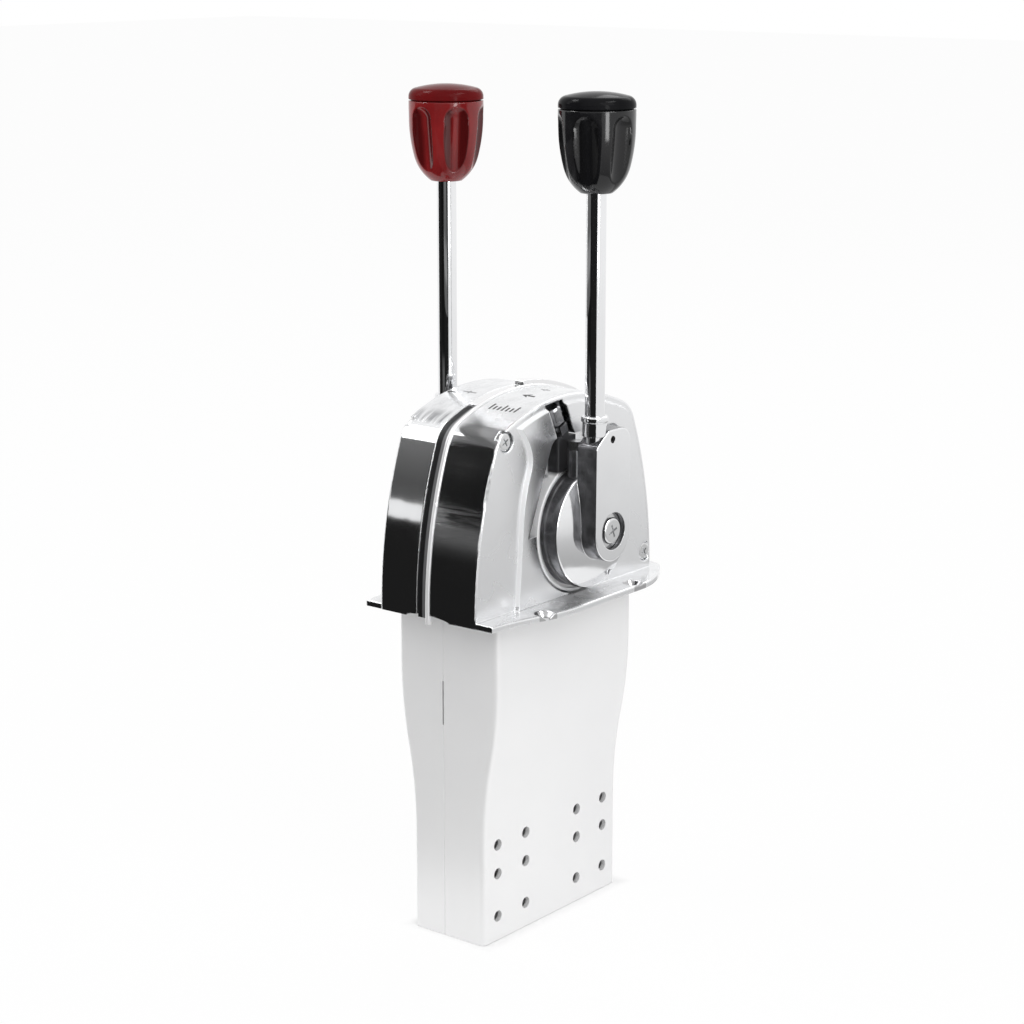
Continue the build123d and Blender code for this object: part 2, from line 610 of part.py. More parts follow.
def friction_shoe():
    """Nylon plug in the lug's bore, hollowed to the drum."""
    reach = ADJUSTER_POINT[1] - HUB_Z
    plug = extrude(adjuster_plane(1) * Circle(ADJUSTER_RADIUS), amount=-reach)
    plug -= hub_disc(0, ARM_FACE, DRUM_RADIUS + SHOE_GAP)
    plug = plug.solids().sort_by(Axis.Z)[-1]
    low = plug.bounding_box().min.Z
    cut = Pos(ADJUSTER_X, HUB_Y, low + SHOE_LENGTH + HOUSING_TOP) * Box(HOUSING_TOP, HOUSING_TOP, 2 * HOUSING_TOP)
    return plug - cut


def adjuster_screw():
    nut_top = JAM_NUT_HEIGHT + ADJUSTER_HEAD_GAP
    stud = extrude(adjuster_plane(nut_top) * Circle(ADJUSTER_RADIUS), amount=-HUB_Z)
    stud -= friction_shoe()
    low = friction_shoe().bounding_box().max.Z
    stud -= Pos(ADJUSTER_X, HUB_Y, low - HOUSING_TOP) * Box(HOUSING_TOP, HOUSING_TOP, 2 * HOUSING_TOP)
    head = extrude(adjuster_plane(nut_top) * hexagon(ADJUSTER_HEAD_FLATS), amount=ADJUSTER_HEAD_LENGTH)
    crown = extrude(adjuster_plane(nut_top) * Circle(ADJUSTER_HEAD_FLATS / 2 * 1.1), amount=ADJUSTER_HEAD_LENGTH)
    crown = chamfer(crown.edges().sort_by(Axis.Z)[-1:], ADJUSTER_HEAD_FLATS / 8)
    return stud + (head & crown)


def jam_nut():
    nut = extrude(adjuster_plane(0) * hexagon(JAM_NUT_FLATS), amount=JAM_NUT_HEIGHT)
    return nut - extrude(adjuster_plane(-1) * Circle(ADJUSTER_RADIUS), amount=JAM_NUT_HEIGHT + 2)


def bush():
    body = hub_disc(BUSH_BOSS_INNER, POCKET_FLOOR, BUSH_RADIUS)
    body += hub_disc(BUSH_BOSS_INNER - BUSH_FLANGE, BUSH_BOSS_INNER, BUSH_FLANGE_RADIUS)
    return body - hub_disc(0, ARM_FACE, JOURNAL_RADIUS + RUNNING)


# ---- hub, turning side ----
def flats(width):
    """The shaft's two flats, as a sketch in (Y, Z) about the hub."""
    return Pos(HUB_Y, HUB_Z) * (Circle(JOURNAL_RADIUS) & Rectangle(width, 4 * JOURNAL_RADIUS))


def clip_inner():
    return CRANK_X[0] - CLIP_THICK


def lock_notch():
    return rod_z(LOCK_X, LOCK_Y, LOCK_SCREW_BOTTOM, LOCK_BOSS_Z[1] + 1, LOCK_SCREW_RADIUS)


def shaft(side):
    face = PLATE_FACE[side]
    body = hub_disc(face - SPIGOT_LENGTH, face + END_PLAY, SPIGOT_RADIUS)
    body += hub_disc(face + END_PLAY, clip_inner(), JOURNAL_RADIUS)
    body += slab(flats(CRANK_FLATS), clip_inner(), CRANK_X[1])
    body += hub_disc(CRANK_X[1], POCKET_FLOOR + END_PLAY * 2, JOURNAL_RADIUS)
    body += hub_disc(POCKET_FLOOR + END_PLAY * 2, SHAFT_END, SHAFT_RADIUS)
    body -= hub_disc(clip_inner(), CRANK_X[0], JOURNAL_RADIUS) - hub_disc(clip_inner(), CRANK_X[0], JOURNAL_RADIUS - 1.5)
    if side == RIGHT:
        body -= slab(Pos(HUB_Y, HUB_Z) * (Circle(JOURNAL_RADIUS + 1) - Rectangle(CRANK_FLATS, 40)), *SECTOR_X)
    body -= lock_notch()
    return body - hub_disc(SHAFT_END - PIVOT_SCREW_LENGTH, SHAFT_END + 1, PIVOT_SCREW_RADIUS)


def shaft_clip():
    """Spring clip in the shaft's groove, inboard of the crank."""
    ring = Circle(JOURNAL_RADIUS + 2.5) - Circle(JOURNAL_RADIUS - 1.5)
    gap = Pos(0, JOURNAL_RADIUS + 1) * Rectangle(4, 8)
    return slab(Pos(HUB_Y, HUB_Z) * (ring - gap), clip_inner(), CRANK_X[0])


def crank_arm():
    hub = Pos(HUB_Y, HUB_Z) * Circle(CRANK_HUB_RADIUS)
    tip = Pos(HUB_Y, HUB_Z - CRANK_THROW) * Circle(CRANK_TIP_RADIUS)
    outline = make_hull([*hub.edges(), *tip.edges()]) - flats(CRANK_FLATS)
    for throw in (CRANK_THROW, CRANK_SHORT_THROW):
        outline -= Pos(HUB_Y, HUB_Z - throw) * Circle(SWIVEL_PIN_RADIUS + RUNNING)
    return slab(outline, *CRANK_X)


def swivel_plane(x):
    return Plane((x, HUB_Y, HUB_Z - CRANK_THROW), x_dir=(0, 1, 0), z_dir=(1, 0, 0))


def swivel():
    """Pivot pin with a cross-drilled barrel that takes the cable's end."""
    start = CRANK_X[1] + END_PLAY
    barrel = extrude(swivel_plane(start) * Circle(SWIVEL_RADIUS), amount=SWIVEL_LENGTH)
    pin_start = CRANK_X[0] - CLIP_THICK - 2 * END_PLAY
    pin = extrude(swivel_plane(pin_start) * Circle(SWIVEL_PIN_RADIUS), amount=start - pin_start)
    middle = start + SWIVEL_LENGTH / 2
    z = HUB_Z - CRANK_THROW
    body = barrel + pin - rod_z(middle, HUB_Y, z - 2 * SWIVEL_RADIUS, z + 2 * SWIVEL_RADIUS, SWIVEL_CABLE_RADIUS)
    groove_start = CRANK_X[0] - CLIP_THICK - END_PLAY
    groove = Circle(SWIVEL_PIN_RADIUS + 1) - Circle(SWIVEL_PIN_RADIUS - 0.8)
    return body - extrude(swivel_plane(groove_start) * groove, amount=CLIP_THICK)


def swivel_clip():
    ring = Circle(SWIVEL_PIN_RADIUS + 1.6) - Circle(SWIVEL_PIN_RADIUS - 0.8)
    gap = Pos(0, SWIVEL_PIN_RADIUS) * Rectangle(2.6, 6)
    return extrude(swivel_plane(CRANK_X[0] - CLIP_THICK - END_PLAY) * (ring - gap), amount=CLIP_THICK)


# ---- shift detent ----
def notch_top():
    return HUB_Z + SECTOR_RADIUS


def leaf_seat():
    """Height of the post's top, which the leaf spring lies on."""
    return notch_top() + LEAF_CLEAR


def detent_sector():
    outline = Circle(SECTOR_RADIUS) & Pos(0, SECTOR_RADIUS / 2) * Rectangle(2 * SECTOR_RADIUS, SECTOR_RADIUS * 1.4)
    outline += Circle(CRANK_HUB_RADIUS)
    notch = Polygon(
        (-NOTCH_HALF, SECTOR_RADIUS + 0.2), (0, SECTOR_RADIUS - NOTCH_DEPTH), (NOTCH_HALF, SECTOR_RADIUS + 0.2), align=None
    )
    for angle in SECTOR_NOTCH_ANGLES:
        outline -= Rot(0, 0, angle) * notch
    outline = Pos(HUB_Y, HUB_Z) * outline - flats(CRANK_FLATS)
    return slab(outline, *SECTOR_X)


def detent_spring():
    """Leaf spring whose V tip sits in the sector's middle notch at neutral."""
    seat = leaf_seat()
    tip = notch_top() - NOTCH_DEPTH + LEAF_THICK / 2 + 0.5
    half = NOTCH_HALF * 1.15
    path = Polyline(
        (LEAF_START_Y, seat + LEAF_THICK / 2),
        (HUB_Y - half, seat + LEAF_THICK / 2),
        (HUB_Y, tip),
        (HUB_Y + half, seat + LEAF_THICK / 2),
        (LEAF_END_Y, seat + LEAF_THICK / 2 + 1),
    )
    leaf = slab(trace(path, LEAF_THICK), *LEAF_X)
    return leaf - rod_z(sum(LEAF_X) / 2, sum(POST_Y) / 2, seat - 1, seat + 3, LEAF_SCREW_RADIUS)


def detent_screw():
    x, y = sum(LEAF_X) / 2, sum(POST_Y) / 2
    top = leaf_seat() + LEAF_THICK
    head_radius, head_height = LEAF_SCREW_HEAD
    screw = rod_z(x, y, leaf_seat() - POST_HEIGHT, top, LEAF_SCREW_RADIUS)
    return screw + rod_z(x, y, top, top + head_height, head_radius)


# ---- lever ----
def lever_disc():
    """The polished hub: a straight-sided disc with a domed face, and a drum inside the ring."""
    face = [
        Polyline((0, DISC_FACE + DISC_DOME), (0, DISC_BACK), (DISC_RADIUS, DISC_BACK), (DISC_RADIUS, DISC_FACE)),
        TangentArc((0, DISC_FACE + DISC_DOME), (DISC_RADIUS, DISC_FACE), tangent=(1, 0)),
    ]
    turned = revolve(Plane.XZ * make_face(face), Axis.Z)
    rim = turned.edges().filter_by(lambda e: abs(e.center().Z - DISC_FACE) < 0.01 and e.geom_type == GeomType.CIRCLE)
    turned = fillet(rim, EDGE_ROUND)
    body = Pos(0, HUB_Y, HUB_Z) * Rot(0, 90, 0) * turned
    return body + hub_disc(POCKET_FLOOR + RING_FLOOR + DRUM_GAP, DISC_BACK, DRUM_RADIUS)


def arm_outline():
    foot_z = HUB_Z - ARM_FOOT_DROP
    rear = ARM_REAR
    front = Line((ARM_FRONT_LOW, foot_z), (ARM_FRONT_TOP, ARM_CHAMFER_START))
    slope = Line(front @ 1, ARM_CHAMFER_END)
    top = Line(ARM_CHAMFER_END, (rear, ARM_CHAMFER_END[1]))
    back = Line((rear, ARM_CHAMFER_END[1]), (rear, foot_z))
    foot = ThreePointArc((rear, foot_z), (HUB_Y, foot_z - ARM_FOOT_RADIUS), (ARM_FRONT_LOW, foot_z))
    face = make_face([front, slope, top, back, foot])
    corner = face.vertices().sort_by(Axis.Y)[-2:].sort_by(Axis.X)[-1]
    face = fillet([corner], ARM_REAR_CORNER)
    shoulder = [v for v in face.vertices() if abs(v.Y - ARM_CHAMFER_START) < 0.01 or abs(v.X - ARM_CHAMFER_END[0]) < 0.01]
    return fillet(shoulder, 2.5)


def rod_screw_body():
    grub = slab(Pos(ROD_SCREW_Y, ROD_SCREW_Z) * Circle(ROD_SCREW_RADIUS), ROD_X - ROD_RADIUS, ARM_FACE - 0.8)
    socket = slab(Pos(ROD_SCREW_Y, ROD_SCREW_Z) * hexagon(ROD_SCREW_RADIUS), ARM_FACE - 3, ARM_FACE)
    return grub - socket


def lever_arm():
    arm = slab(arm_outline(), DISC_FACE, ARM_FACE)
    rims = arm.faces().filter_by(Axis.X)
    arm = fillet([e for f in rims for e in f.edges()], 0.9)
    arm += slab(Pos(HUB_Y, HUB_Z) * Circle(PIVOT_BORE_RADIUS + 1), DISC_FACE - 1, ARM_FACE - PIVOT_BORE_DEPTH)
    body = lever_disc() + arm + slab(arm_outline() & Pos(HUB_Y, HUB_Z) * Circle(DISC_RADIUS - 4), DISC_FACE - 1, DISC_FACE + 1)
    boss = rod_z(LOCK_X, LOCK_Y, *LOCK_BOSS_Z, LOCK_BOSS_RADIUS)
    boss = fillet(boss.edges().group_by(Axis.Z)[0], 1.5)
    body += boss
    body -= hub_disc(0, SHAFT_END, SHAFT_RADIUS)
    body -= hub_disc(SHAFT_END - 1, ARM_FACE, PIVOT_SCREW_RADIUS)
    body -= hub_disc(ARM_FACE - PIVOT_BORE_DEPTH, ARM_FACE + 1, PIVOT_BORE_RADIUS)
    body -= lock_notch()
    body -= rod_z(ROD_X, 0, ROD_BOTTOM, HOUSING_TOP, ROD_RADIUS)
    body -= rod_z(ROD_X, 0, COLLAR_BOTTOM, HOUSING_TOP, COLLAR_RADIUS)
    body -= slab(Pos(ROD_SCREW_Y, ROD_SCREW_Z) * Circle(ROD_SCREW_RADIUS), ROD_X - ROD_RADIUS, ARM_FACE + 1)
    return body


def pivot_screw():
    seat = ARM_FACE - PIVOT_BORE_DEPTH + WASHER_THICK
    head = hub_disc(seat, seat + PIVOT_HEAD_HEIGHT, PIVOT_HEAD_RADIUS)
    head = fillet(head.edges().group_by(Axis.X)[-1], PIVOT_HEAD_HEIGHT / 2)
    head += hub_disc(SHAFT_END - PIVOT_SCREW_LENGTH + 1, seat, PIVOT_SCREW_RADIUS)
    plane = Plane((seat + PIVOT_HEAD_HEIGHT, HUB_Y, HUB_Z), x_dir=(0, 1, 0), z_dir=(1, 0, 0))
    return head - plane * Rot(0, 0, 20) * cross_recess(PIVOT_HEAD_RADIUS / 2, PIVOT_HEAD_HEIGHT / 2)


def pivot_washer():
    seat = ARM_FACE - PIVOT_BORE_DEPTH
    washer = hub_disc(seat, seat + WASHER_THICK, PIVOT_BORE_RADIUS - 0.4)
    return washer - hub_disc(0, ARM_FACE, PIVOT_SCREW_RADIUS)


def hub_lock_screw():
    shank = rod_z(LOCK_X, LOCK_Y, LOCK_SCREW_BOTTOM, LOCK_BOSS_Z[1], LOCK_SCREW_RADIUS)
    return shank + Pos(LOCK_X, LOCK_Y, LOCK_BOSS_Z[1]) * extrude(hexagon(LOCK_HEAD_FLATS), amount=LOCK_HEAD_HEIGHT)


def rod_collar():
    barrel = rod_z(ROD_X, 0, COLLAR_BOTTOM, COLLAR_RIM_Z[1], COLLAR_RADIUS)
    rim = rod_z(ROD_X, 0, *COLLAR_RIM_Z, COLLAR_RIM_RADIUS)
    rim = fillet(rim.edges().filter_by(GeomType.CIRCLE), 0.9)
    return barrel + rim - rod_z(ROD_X, 0, 0, KNOB_TOP, ROD_RADIUS)


def lever_rod():
    rod = rod_z(ROD_X, 0, ROD_BOTTOM, INSERT_Z[1], ROD_RADIUS)
    return rod - slab(Pos(ROD_SCREW_Y, ROD_SCREW_Z) * Circle(ROD_SCREW_RADIUS), 0, ARM_FACE)


# ---- knob ----
def flute():
    """A wide shallow scoop, rounded at the top; it runs out to a point where the knob narrows."""
    cutter = rod_z(0, 0, KNOB_BOTTOM - FLUTE_TOP, 0, FLUTE_RADIUS)
    cutter = fillet(cutter.edges().group_by(Axis.Z)[-1], FLUTE_ROUND)
    reach = KNOB_RADIUS - FLUTE_DEPTH + FLUTE_RADIUS
    return Pos(reach, 0, FLUTE_TOP) * Rot(0, FLUTE_LEAN, 0) * cutter


def knob_body(side):
    belly = TangentArc((KNOB_RADIUS, KNOB_STRAIGHT), KNOB_BELLY, tangent=(0, -1))
    outline = [
        Line((KNOB_RADIUS, KNOB_PARTING), (KNOB_RADIUS, KNOB_STRAIGHT)),
        belly,
        TangentArc(belly @ 1, (KNOB_FOOT_RADIUS, KNOB_BOTTOM), tangent=belly % 1),
        Polyline((KNOB_FOOT_RADIUS, KNOB_BOTTOM), (0, KNOB_BOTTOM), (0, KNOB_PARTING), (KNOB_RADIUS, KNOB_PARTING)),
    ]
    body = revolve(Plane.XZ * make_face(outline), Axis.Z)
    body = fillet(body.edges().group_by(Axis.Z)[-1], EDGE_ROUND / 2)
    for index in range(FLUTES):
        body -= Rot(0, 0, FLUTE_FIRST[side] + index * 360 / FLUTES) * flute()
    body -= rod_z(0, 0, KNOB_BOTTOM - 1, INSERT_Z[0], ROD_RADIUS)
    body -= rod_z(0, 0, *INSERT_Z, INSERT_RADIUS)
    return Pos(side * ROD_X, 0, 0) * body


def knob_cap():
    """Domed cap on a narrower neck, which leaves the groove under its rim."""
    base = KNOB_PARTING + KNOB_GROOVE
    profile = Pos(0, base + HOUSING_TOP) * Rectangle(2 * KNOB_RADIUS, 2 * HOUSING_TOP)
    profile &= Pos(0, KNOB_TOP - KNOB_CROWN_RADIUS) * Circle(KNOB_CROWN_RADIUS)
    shoulders = profile.vertices().group_by(Axis.Y)[-1]
    profile = fillet(shoulders, KNOB_SHOULDER)
    profile &= Pos(KNOB_RADIUS, KNOB_TOP) * Rectangle(2 * KNOB_RADIUS, HOUSING_TOP)
    cap = revolve(Plane.XZ * profile, Axis.Z)
    return Pos(ROD_X, 0, 0) * (cap + rod_z(0, 0, KNOB_PARTING, base, KNOB_RADIUS - EDGE_ROUND))


def knob_insert():
    return rod_z(ROD_X, 0, *INSERT_Z, INSERT_RADIUS) - rod_z(ROD_X, 0, 0, KNOB_TOP, ROD_RADIUS)


# ---- write every piece ----
os.makedirs("parts", exist_ok=True)
write("centre_plate", centre_plate())
write("seam_bead", seam_bead())
write("crest_strip", crest_strip())
write("cover_screws", cover_screws())
write("case_screws", case_screws())
write("detent_sector", detent_sector())
write("detent_spring", detent_spring())
write("detent_screw", detent_screw())

MIRRORED = {
    "friction_ring": friction_ring(),
    "ring_screws": ring_screws(),
    "friction_shoe": friction_shoe(),
    "adjuster_screw": adjuster_screw(),
    "jam_nut": jam_nut(),
    "shaft_bush": bush(),
    "shaft_clip": shaft_clip(),
    "crank_arm": crank_arm(),
    "cable_swivel": swivel(),
    "swivel_clip": swivel_clip(),
    "lever_arm": lever_arm(),
    "pivot_screw": pivot_screw(),
    "pivot_washer": pivot_washer(),
    "hub_lock_screw": hub_lock_screw(),
    "rod_collar": rod_collar(),
    "rod_screw": rod_screw_body(),
    "lever_rod": lever_rod(),
    "knob_cap": knob_cap(),
    "knob_insert": knob_insert(),
}

for side in (RIGHT, LEFT):
    prefix = side_name(side) + "_"
    write(prefix + "cover", placed(cover(side), side))
    write(prefix + "case", placed(case(side), side))
    write(prefix + "lever_shaft", placed(shaft(side), side))
    write(prefix + "knob_body", knob_body(side))
    for node, shape in MIRRORED.items():
        write(prefix + node, placed(shape, side))
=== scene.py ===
import json
import math

import bmesh
import bpy
from mathutils import Matrix, Vector


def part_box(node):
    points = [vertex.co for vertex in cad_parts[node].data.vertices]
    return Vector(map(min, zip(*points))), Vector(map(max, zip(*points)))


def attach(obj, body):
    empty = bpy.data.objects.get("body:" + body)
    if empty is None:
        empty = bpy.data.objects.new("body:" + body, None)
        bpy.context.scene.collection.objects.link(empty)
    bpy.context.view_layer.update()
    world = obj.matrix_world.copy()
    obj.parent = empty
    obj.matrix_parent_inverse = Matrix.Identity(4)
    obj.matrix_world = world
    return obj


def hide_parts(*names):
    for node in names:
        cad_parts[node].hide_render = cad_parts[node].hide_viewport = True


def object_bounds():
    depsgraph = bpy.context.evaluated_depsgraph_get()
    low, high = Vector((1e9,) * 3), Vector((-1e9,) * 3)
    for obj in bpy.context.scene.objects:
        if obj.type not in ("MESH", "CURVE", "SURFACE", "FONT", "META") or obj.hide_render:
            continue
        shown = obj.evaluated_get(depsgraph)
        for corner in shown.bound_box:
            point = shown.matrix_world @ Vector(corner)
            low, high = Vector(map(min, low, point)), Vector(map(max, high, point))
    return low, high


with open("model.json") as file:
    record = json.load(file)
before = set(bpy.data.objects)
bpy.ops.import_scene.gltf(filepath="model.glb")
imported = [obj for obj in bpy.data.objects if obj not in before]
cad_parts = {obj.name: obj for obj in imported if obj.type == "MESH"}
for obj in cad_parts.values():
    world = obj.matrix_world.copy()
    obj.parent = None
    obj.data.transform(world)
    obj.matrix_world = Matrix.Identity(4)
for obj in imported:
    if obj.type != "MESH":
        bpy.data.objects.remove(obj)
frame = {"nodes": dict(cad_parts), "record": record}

CAD_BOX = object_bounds()
NODES = frame["nodes"]
MM_PER_M = 1000
WHITE = (1, 1, 1, 1)


# ---- node helpers ----
class Graph:
    """Short calls that add nodes to a node tree and join them."""

    def __init__(self, tree):
        self.tree = tree

    def node(self, kind, **settings):
        made = self.tree.nodes.new(kind)
        for key, value in settings.items():
            setattr(made, key, value)
        return made

    def join(self, out, into):
        self.tree.links.new(out, into)

    def put(self, into, value):
        if isinstance(value, bpy.types.NodeSocket):
            self.join(value, into)
        else:
            into.default_value = value

    def math(self, operation, a, b=None):
        made = self.node("ShaderNodeMath", operation=operation)
        self.put(made.inputs[0], a)
        if b is not None:
            self.put(made.inputs[1], b)
        return made.outputs[0]

    def times(self, a, b):
        return self.math("MULTIPLY", a, b)

    def plus(self, a, b):
        return self.math("ADD", a, b)

    def minus(self, a, b):
        return self.math("SUBTRACT", a, b)

    def size_of(self, value):
        return self.math("ABSOLUTE", value)

    def span(self, value, low, high, to_low=0.0, to_high=1.0):
        """Value between low and high, spread over to_low to to_high and held at both ends."""
        made = self.node("ShaderNodeMapRange", clamp=True)
        self.put(made.inputs["Value"], value)
        limits = {"From Min": low, "From Max": high, "To Min": to_low, "To Max": to_high}
        for key, number in limits.items():
            self.put(made.inputs[key], number)
        return made.outputs[0]

    def window(self, value, start, full, fade, end):
        """1 from full to fade, and 0 before start and after end."""
        return self.times(self.span(value, start, full), self.span(value, end, fade))

    def looked_at(self):
        """1 for rays from the camera, from gloss or through glass, and 0 for the others."""
        path = self.node("ShaderNodeLightPath").outputs
        seen = self.math("MAXIMUM", path["Is Camera Ray"], path["Is Glossy Ray"])
        return self.math("MAXIMUM", seen, path["Is Transmission Ray"])


class Shader(Graph):
    """A node material with one Principled shader."""

    def __init__(self, name):
        self.mat = bpy.data.materials.new(name)
        self.mat.use_nodes = True
        super().__init__(self.mat.node_tree)
        self.bsdf = self.tree.nodes["Principled BSDF"]
        self.surface = self.tree.nodes["Material Output"].inputs["Surface"]

    def coords(self, scale):
        where = self.node("ShaderNodeTexCoord")
        mapping = self.node("ShaderNodeMapping")
        mapping.inputs["Scale"].default_value = scale
        self.join(where.outputs["Object"], mapping.inputs["Vector"])
        return mapping.outputs[0]

    def part_of(self, output, letter):
        where = self.node("ShaderNodeTexCoord")
        split = self.node("ShaderNodeSeparateXYZ")
        self.join(where.outputs[output], split.inputs[0])
        return split.outputs[letter]

    def axis(self, letter):
        """One coordinate in the piece's own frame, in metres."""
        return self.part_of("Object", letter)

    def normal(self, letter):
        """One coordinate of the normal in the piece's own frame."""
        return self.part_of("Normal", letter)

    def noise(self, scale, stretch=(1, 1, 1), detail=2.0, rough=0.5):
        made = self.node("ShaderNodeTexNoise")
        made.inputs["Scale"].default_value = scale
        made.inputs["Detail"].default_value = detail
        made.inputs["Roughness"].default_value = rough
        self.join(self.coords(stretch), made.inputs["Vector"])
        return made.outputs["Fac"]

    def mix(self, factor, a, b):
        made = self.node("ShaderNodeMix", data_type="RGBA")
        self.put(made.inputs["Factor"], factor)
        for socket, value in ((made.inputs["A"], a), (made.inputs["B"], b)):
            self.put(socket, value if isinstance(value, bpy.types.NodeSocket) else (*value, 1))
        return made.outputs["Result"]

    def worn_edge(self, radius):
        """A normal that rounds sharp edges over a small radius."""
        made = self.node("ShaderNodeBevel", samples=BEVEL_SAMPLES)
        made.inputs["Radius"].default_value = radius
        return made.outputs[0]

    def bump(self, height, distance, strength=1.0, after=None):
        made = self.node("ShaderNodeBump")
        self.put(made.inputs["Strength"], strength)
        made.inputs["Distance"].default_value = distance
        self.put(made.inputs["Height"], height)
        if after is not None:
            self.join(after, made.inputs["Normal"])
        return made.outputs[0]

    def set(self, **values):
        for key, value in values.items():
            socket = self.bsdf.inputs[key.replace("_", " ")]
            if isinstance(value, tuple) and len(value) == 3:
                value = (*value, 1)
            self.put(socket, value)
        return self.mat


# ---- numbers of the finishes: lengths in metres, colours in linear light ----
BEVEL_SAMPLES = 6
EDGE, COVER_EDGE, KNOB_EDGE = 0.0005, 0.0010, 0.0009
ORANGE_PEEL, SCRATCHES, TOOL_MARKS, GRAIN = 0.00002, 0.00003, 0.000012, 0.00001
PLATE, PLATE_HAZE = (0.86, 0.865, 0.875), (0.82, 0.825, 0.835)
CLOUDED_PLATE, RUBBED_PLATE = (0.70, 0.705, 0.715), (0.36, 0.365, 0.375)
# Painted shade for the countersinks of the deck bolts
SINK_SHADE_PLATE = (0.5, 0.5, 0.505)
# Painted shade for the narrow sides of the lever castings
ARM_SIDE_SHADE, PALE_ARM_SIDE_SHADE = (0.10, 0.10, 0.105), (0.22, 0.22, 0.23)
SATIN, SATIN_CLOUD = (0.93, 0.93, 0.93), (0.88, 0.88, 0.885)
LUSTRE, RING_CLOUD, BEAD_CLOUD = (0.93, 0.93, 0.935), (0.84, 0.84, 0.845), (0.84, 0.84, 0.85)
LUG_DARK = (0.04, 0.04, 0.043)
# Painted shade for the groove along the seam, less deep beside the bead
GROOVE_SHADE, GROOVE_HALF_SHADE = (0.008, 0.008, 0.009), (0.17, 0.17, 0.175)

# Where the finish of the covers changes. Places are in metres and normals are cosines.
# A pair is (none, full), and four numbers are (start, full, fade, end).
BAND_NORMAL_X = (0.55, 0.35)
CROWN_NORMAL_Z = (0.78, 0.95)
SATIN_NORMAL_X, SIDE_SATIN = (0.85, 0.95), 0.2
SWEEP_WEAR, SCRATCH_DEPTH = 0.22, 0.55
HATCH_X, HATCH_Z = (0.0, 0.001), (0.037, 0.043, 0.055, 0.060)
RUBBED_X, RUBBED_Y = (-0.008, -0.010), (-0.030, -0.036)
RUBBED_Z = (0.0925, 0.0945, 0.0965, 0.0985)
SLOPE_NORMAL_X, SLOPE_Z = (0.40, 0.48, 0.66, 0.74), (0.004, 0.006)
SLOPE_SATIN, SLOPE_METAL = 0.4, 0.2
FLANGE_TOP_Z, FLANGE_TOP_NORMAL_Z, FLANGE_METAL = (0.0036, 0.0034), (0.90, 0.97), 0.72
BOLT_X, BOLT_Y = 0.045, 0.037
SINK_REACH, SINK_NORMAL_Z = (0.0054, 0.0052), (0.92, 0.85)

# The same for the lever castings, the rings with their lugs, the groove and the knobs
NARROW_NORMAL_X, NARROW_SATIN, NARROW_METAL = (0.72, 0.62), 0.12, 0.75
LUG_Z, LUG_SATIN, RING_METAL, LUG_METAL = (0.0655, 0.0675), 0.08, 0.12, 0.6
FLANK_NORMAL_Y, FLANK_Y, FLANK_X = (-0.8, -0.9), (-0.005, -0.009), (0.0262, 0.0250)
GROOVE_LINE_X = (-0.0045, -0.0040)
FLUTE_WALL, WALL_SHADE = (0.08, 0.5), 0.5


# ---- materials ----
def shaded(tint, share):
    return tuple(c * share for c in tint)


def chrome(name, tint=PLATE, shine=0.05):
    """Bright plate over polished metal: faint orange peel, and haze that comes and goes."""
    s = Shader(name)
    haze = s.noise(38, detail=4)
    peel = s.noise(140, detail=1)
    rough = s.span(haze, 0.35, 0.75, shine, shine * 2.2)
    shade = s.mix(s.span(haze, 0.3, 0.8), tint, shaded(tint, 0.955))
    normal = s.bump(peel, ORANGE_PEEL, after=s.worn_edge(EDGE))
    return s.set(Base_Color=shade, Metallic=1.0, Roughness=rough, Normal=normal)


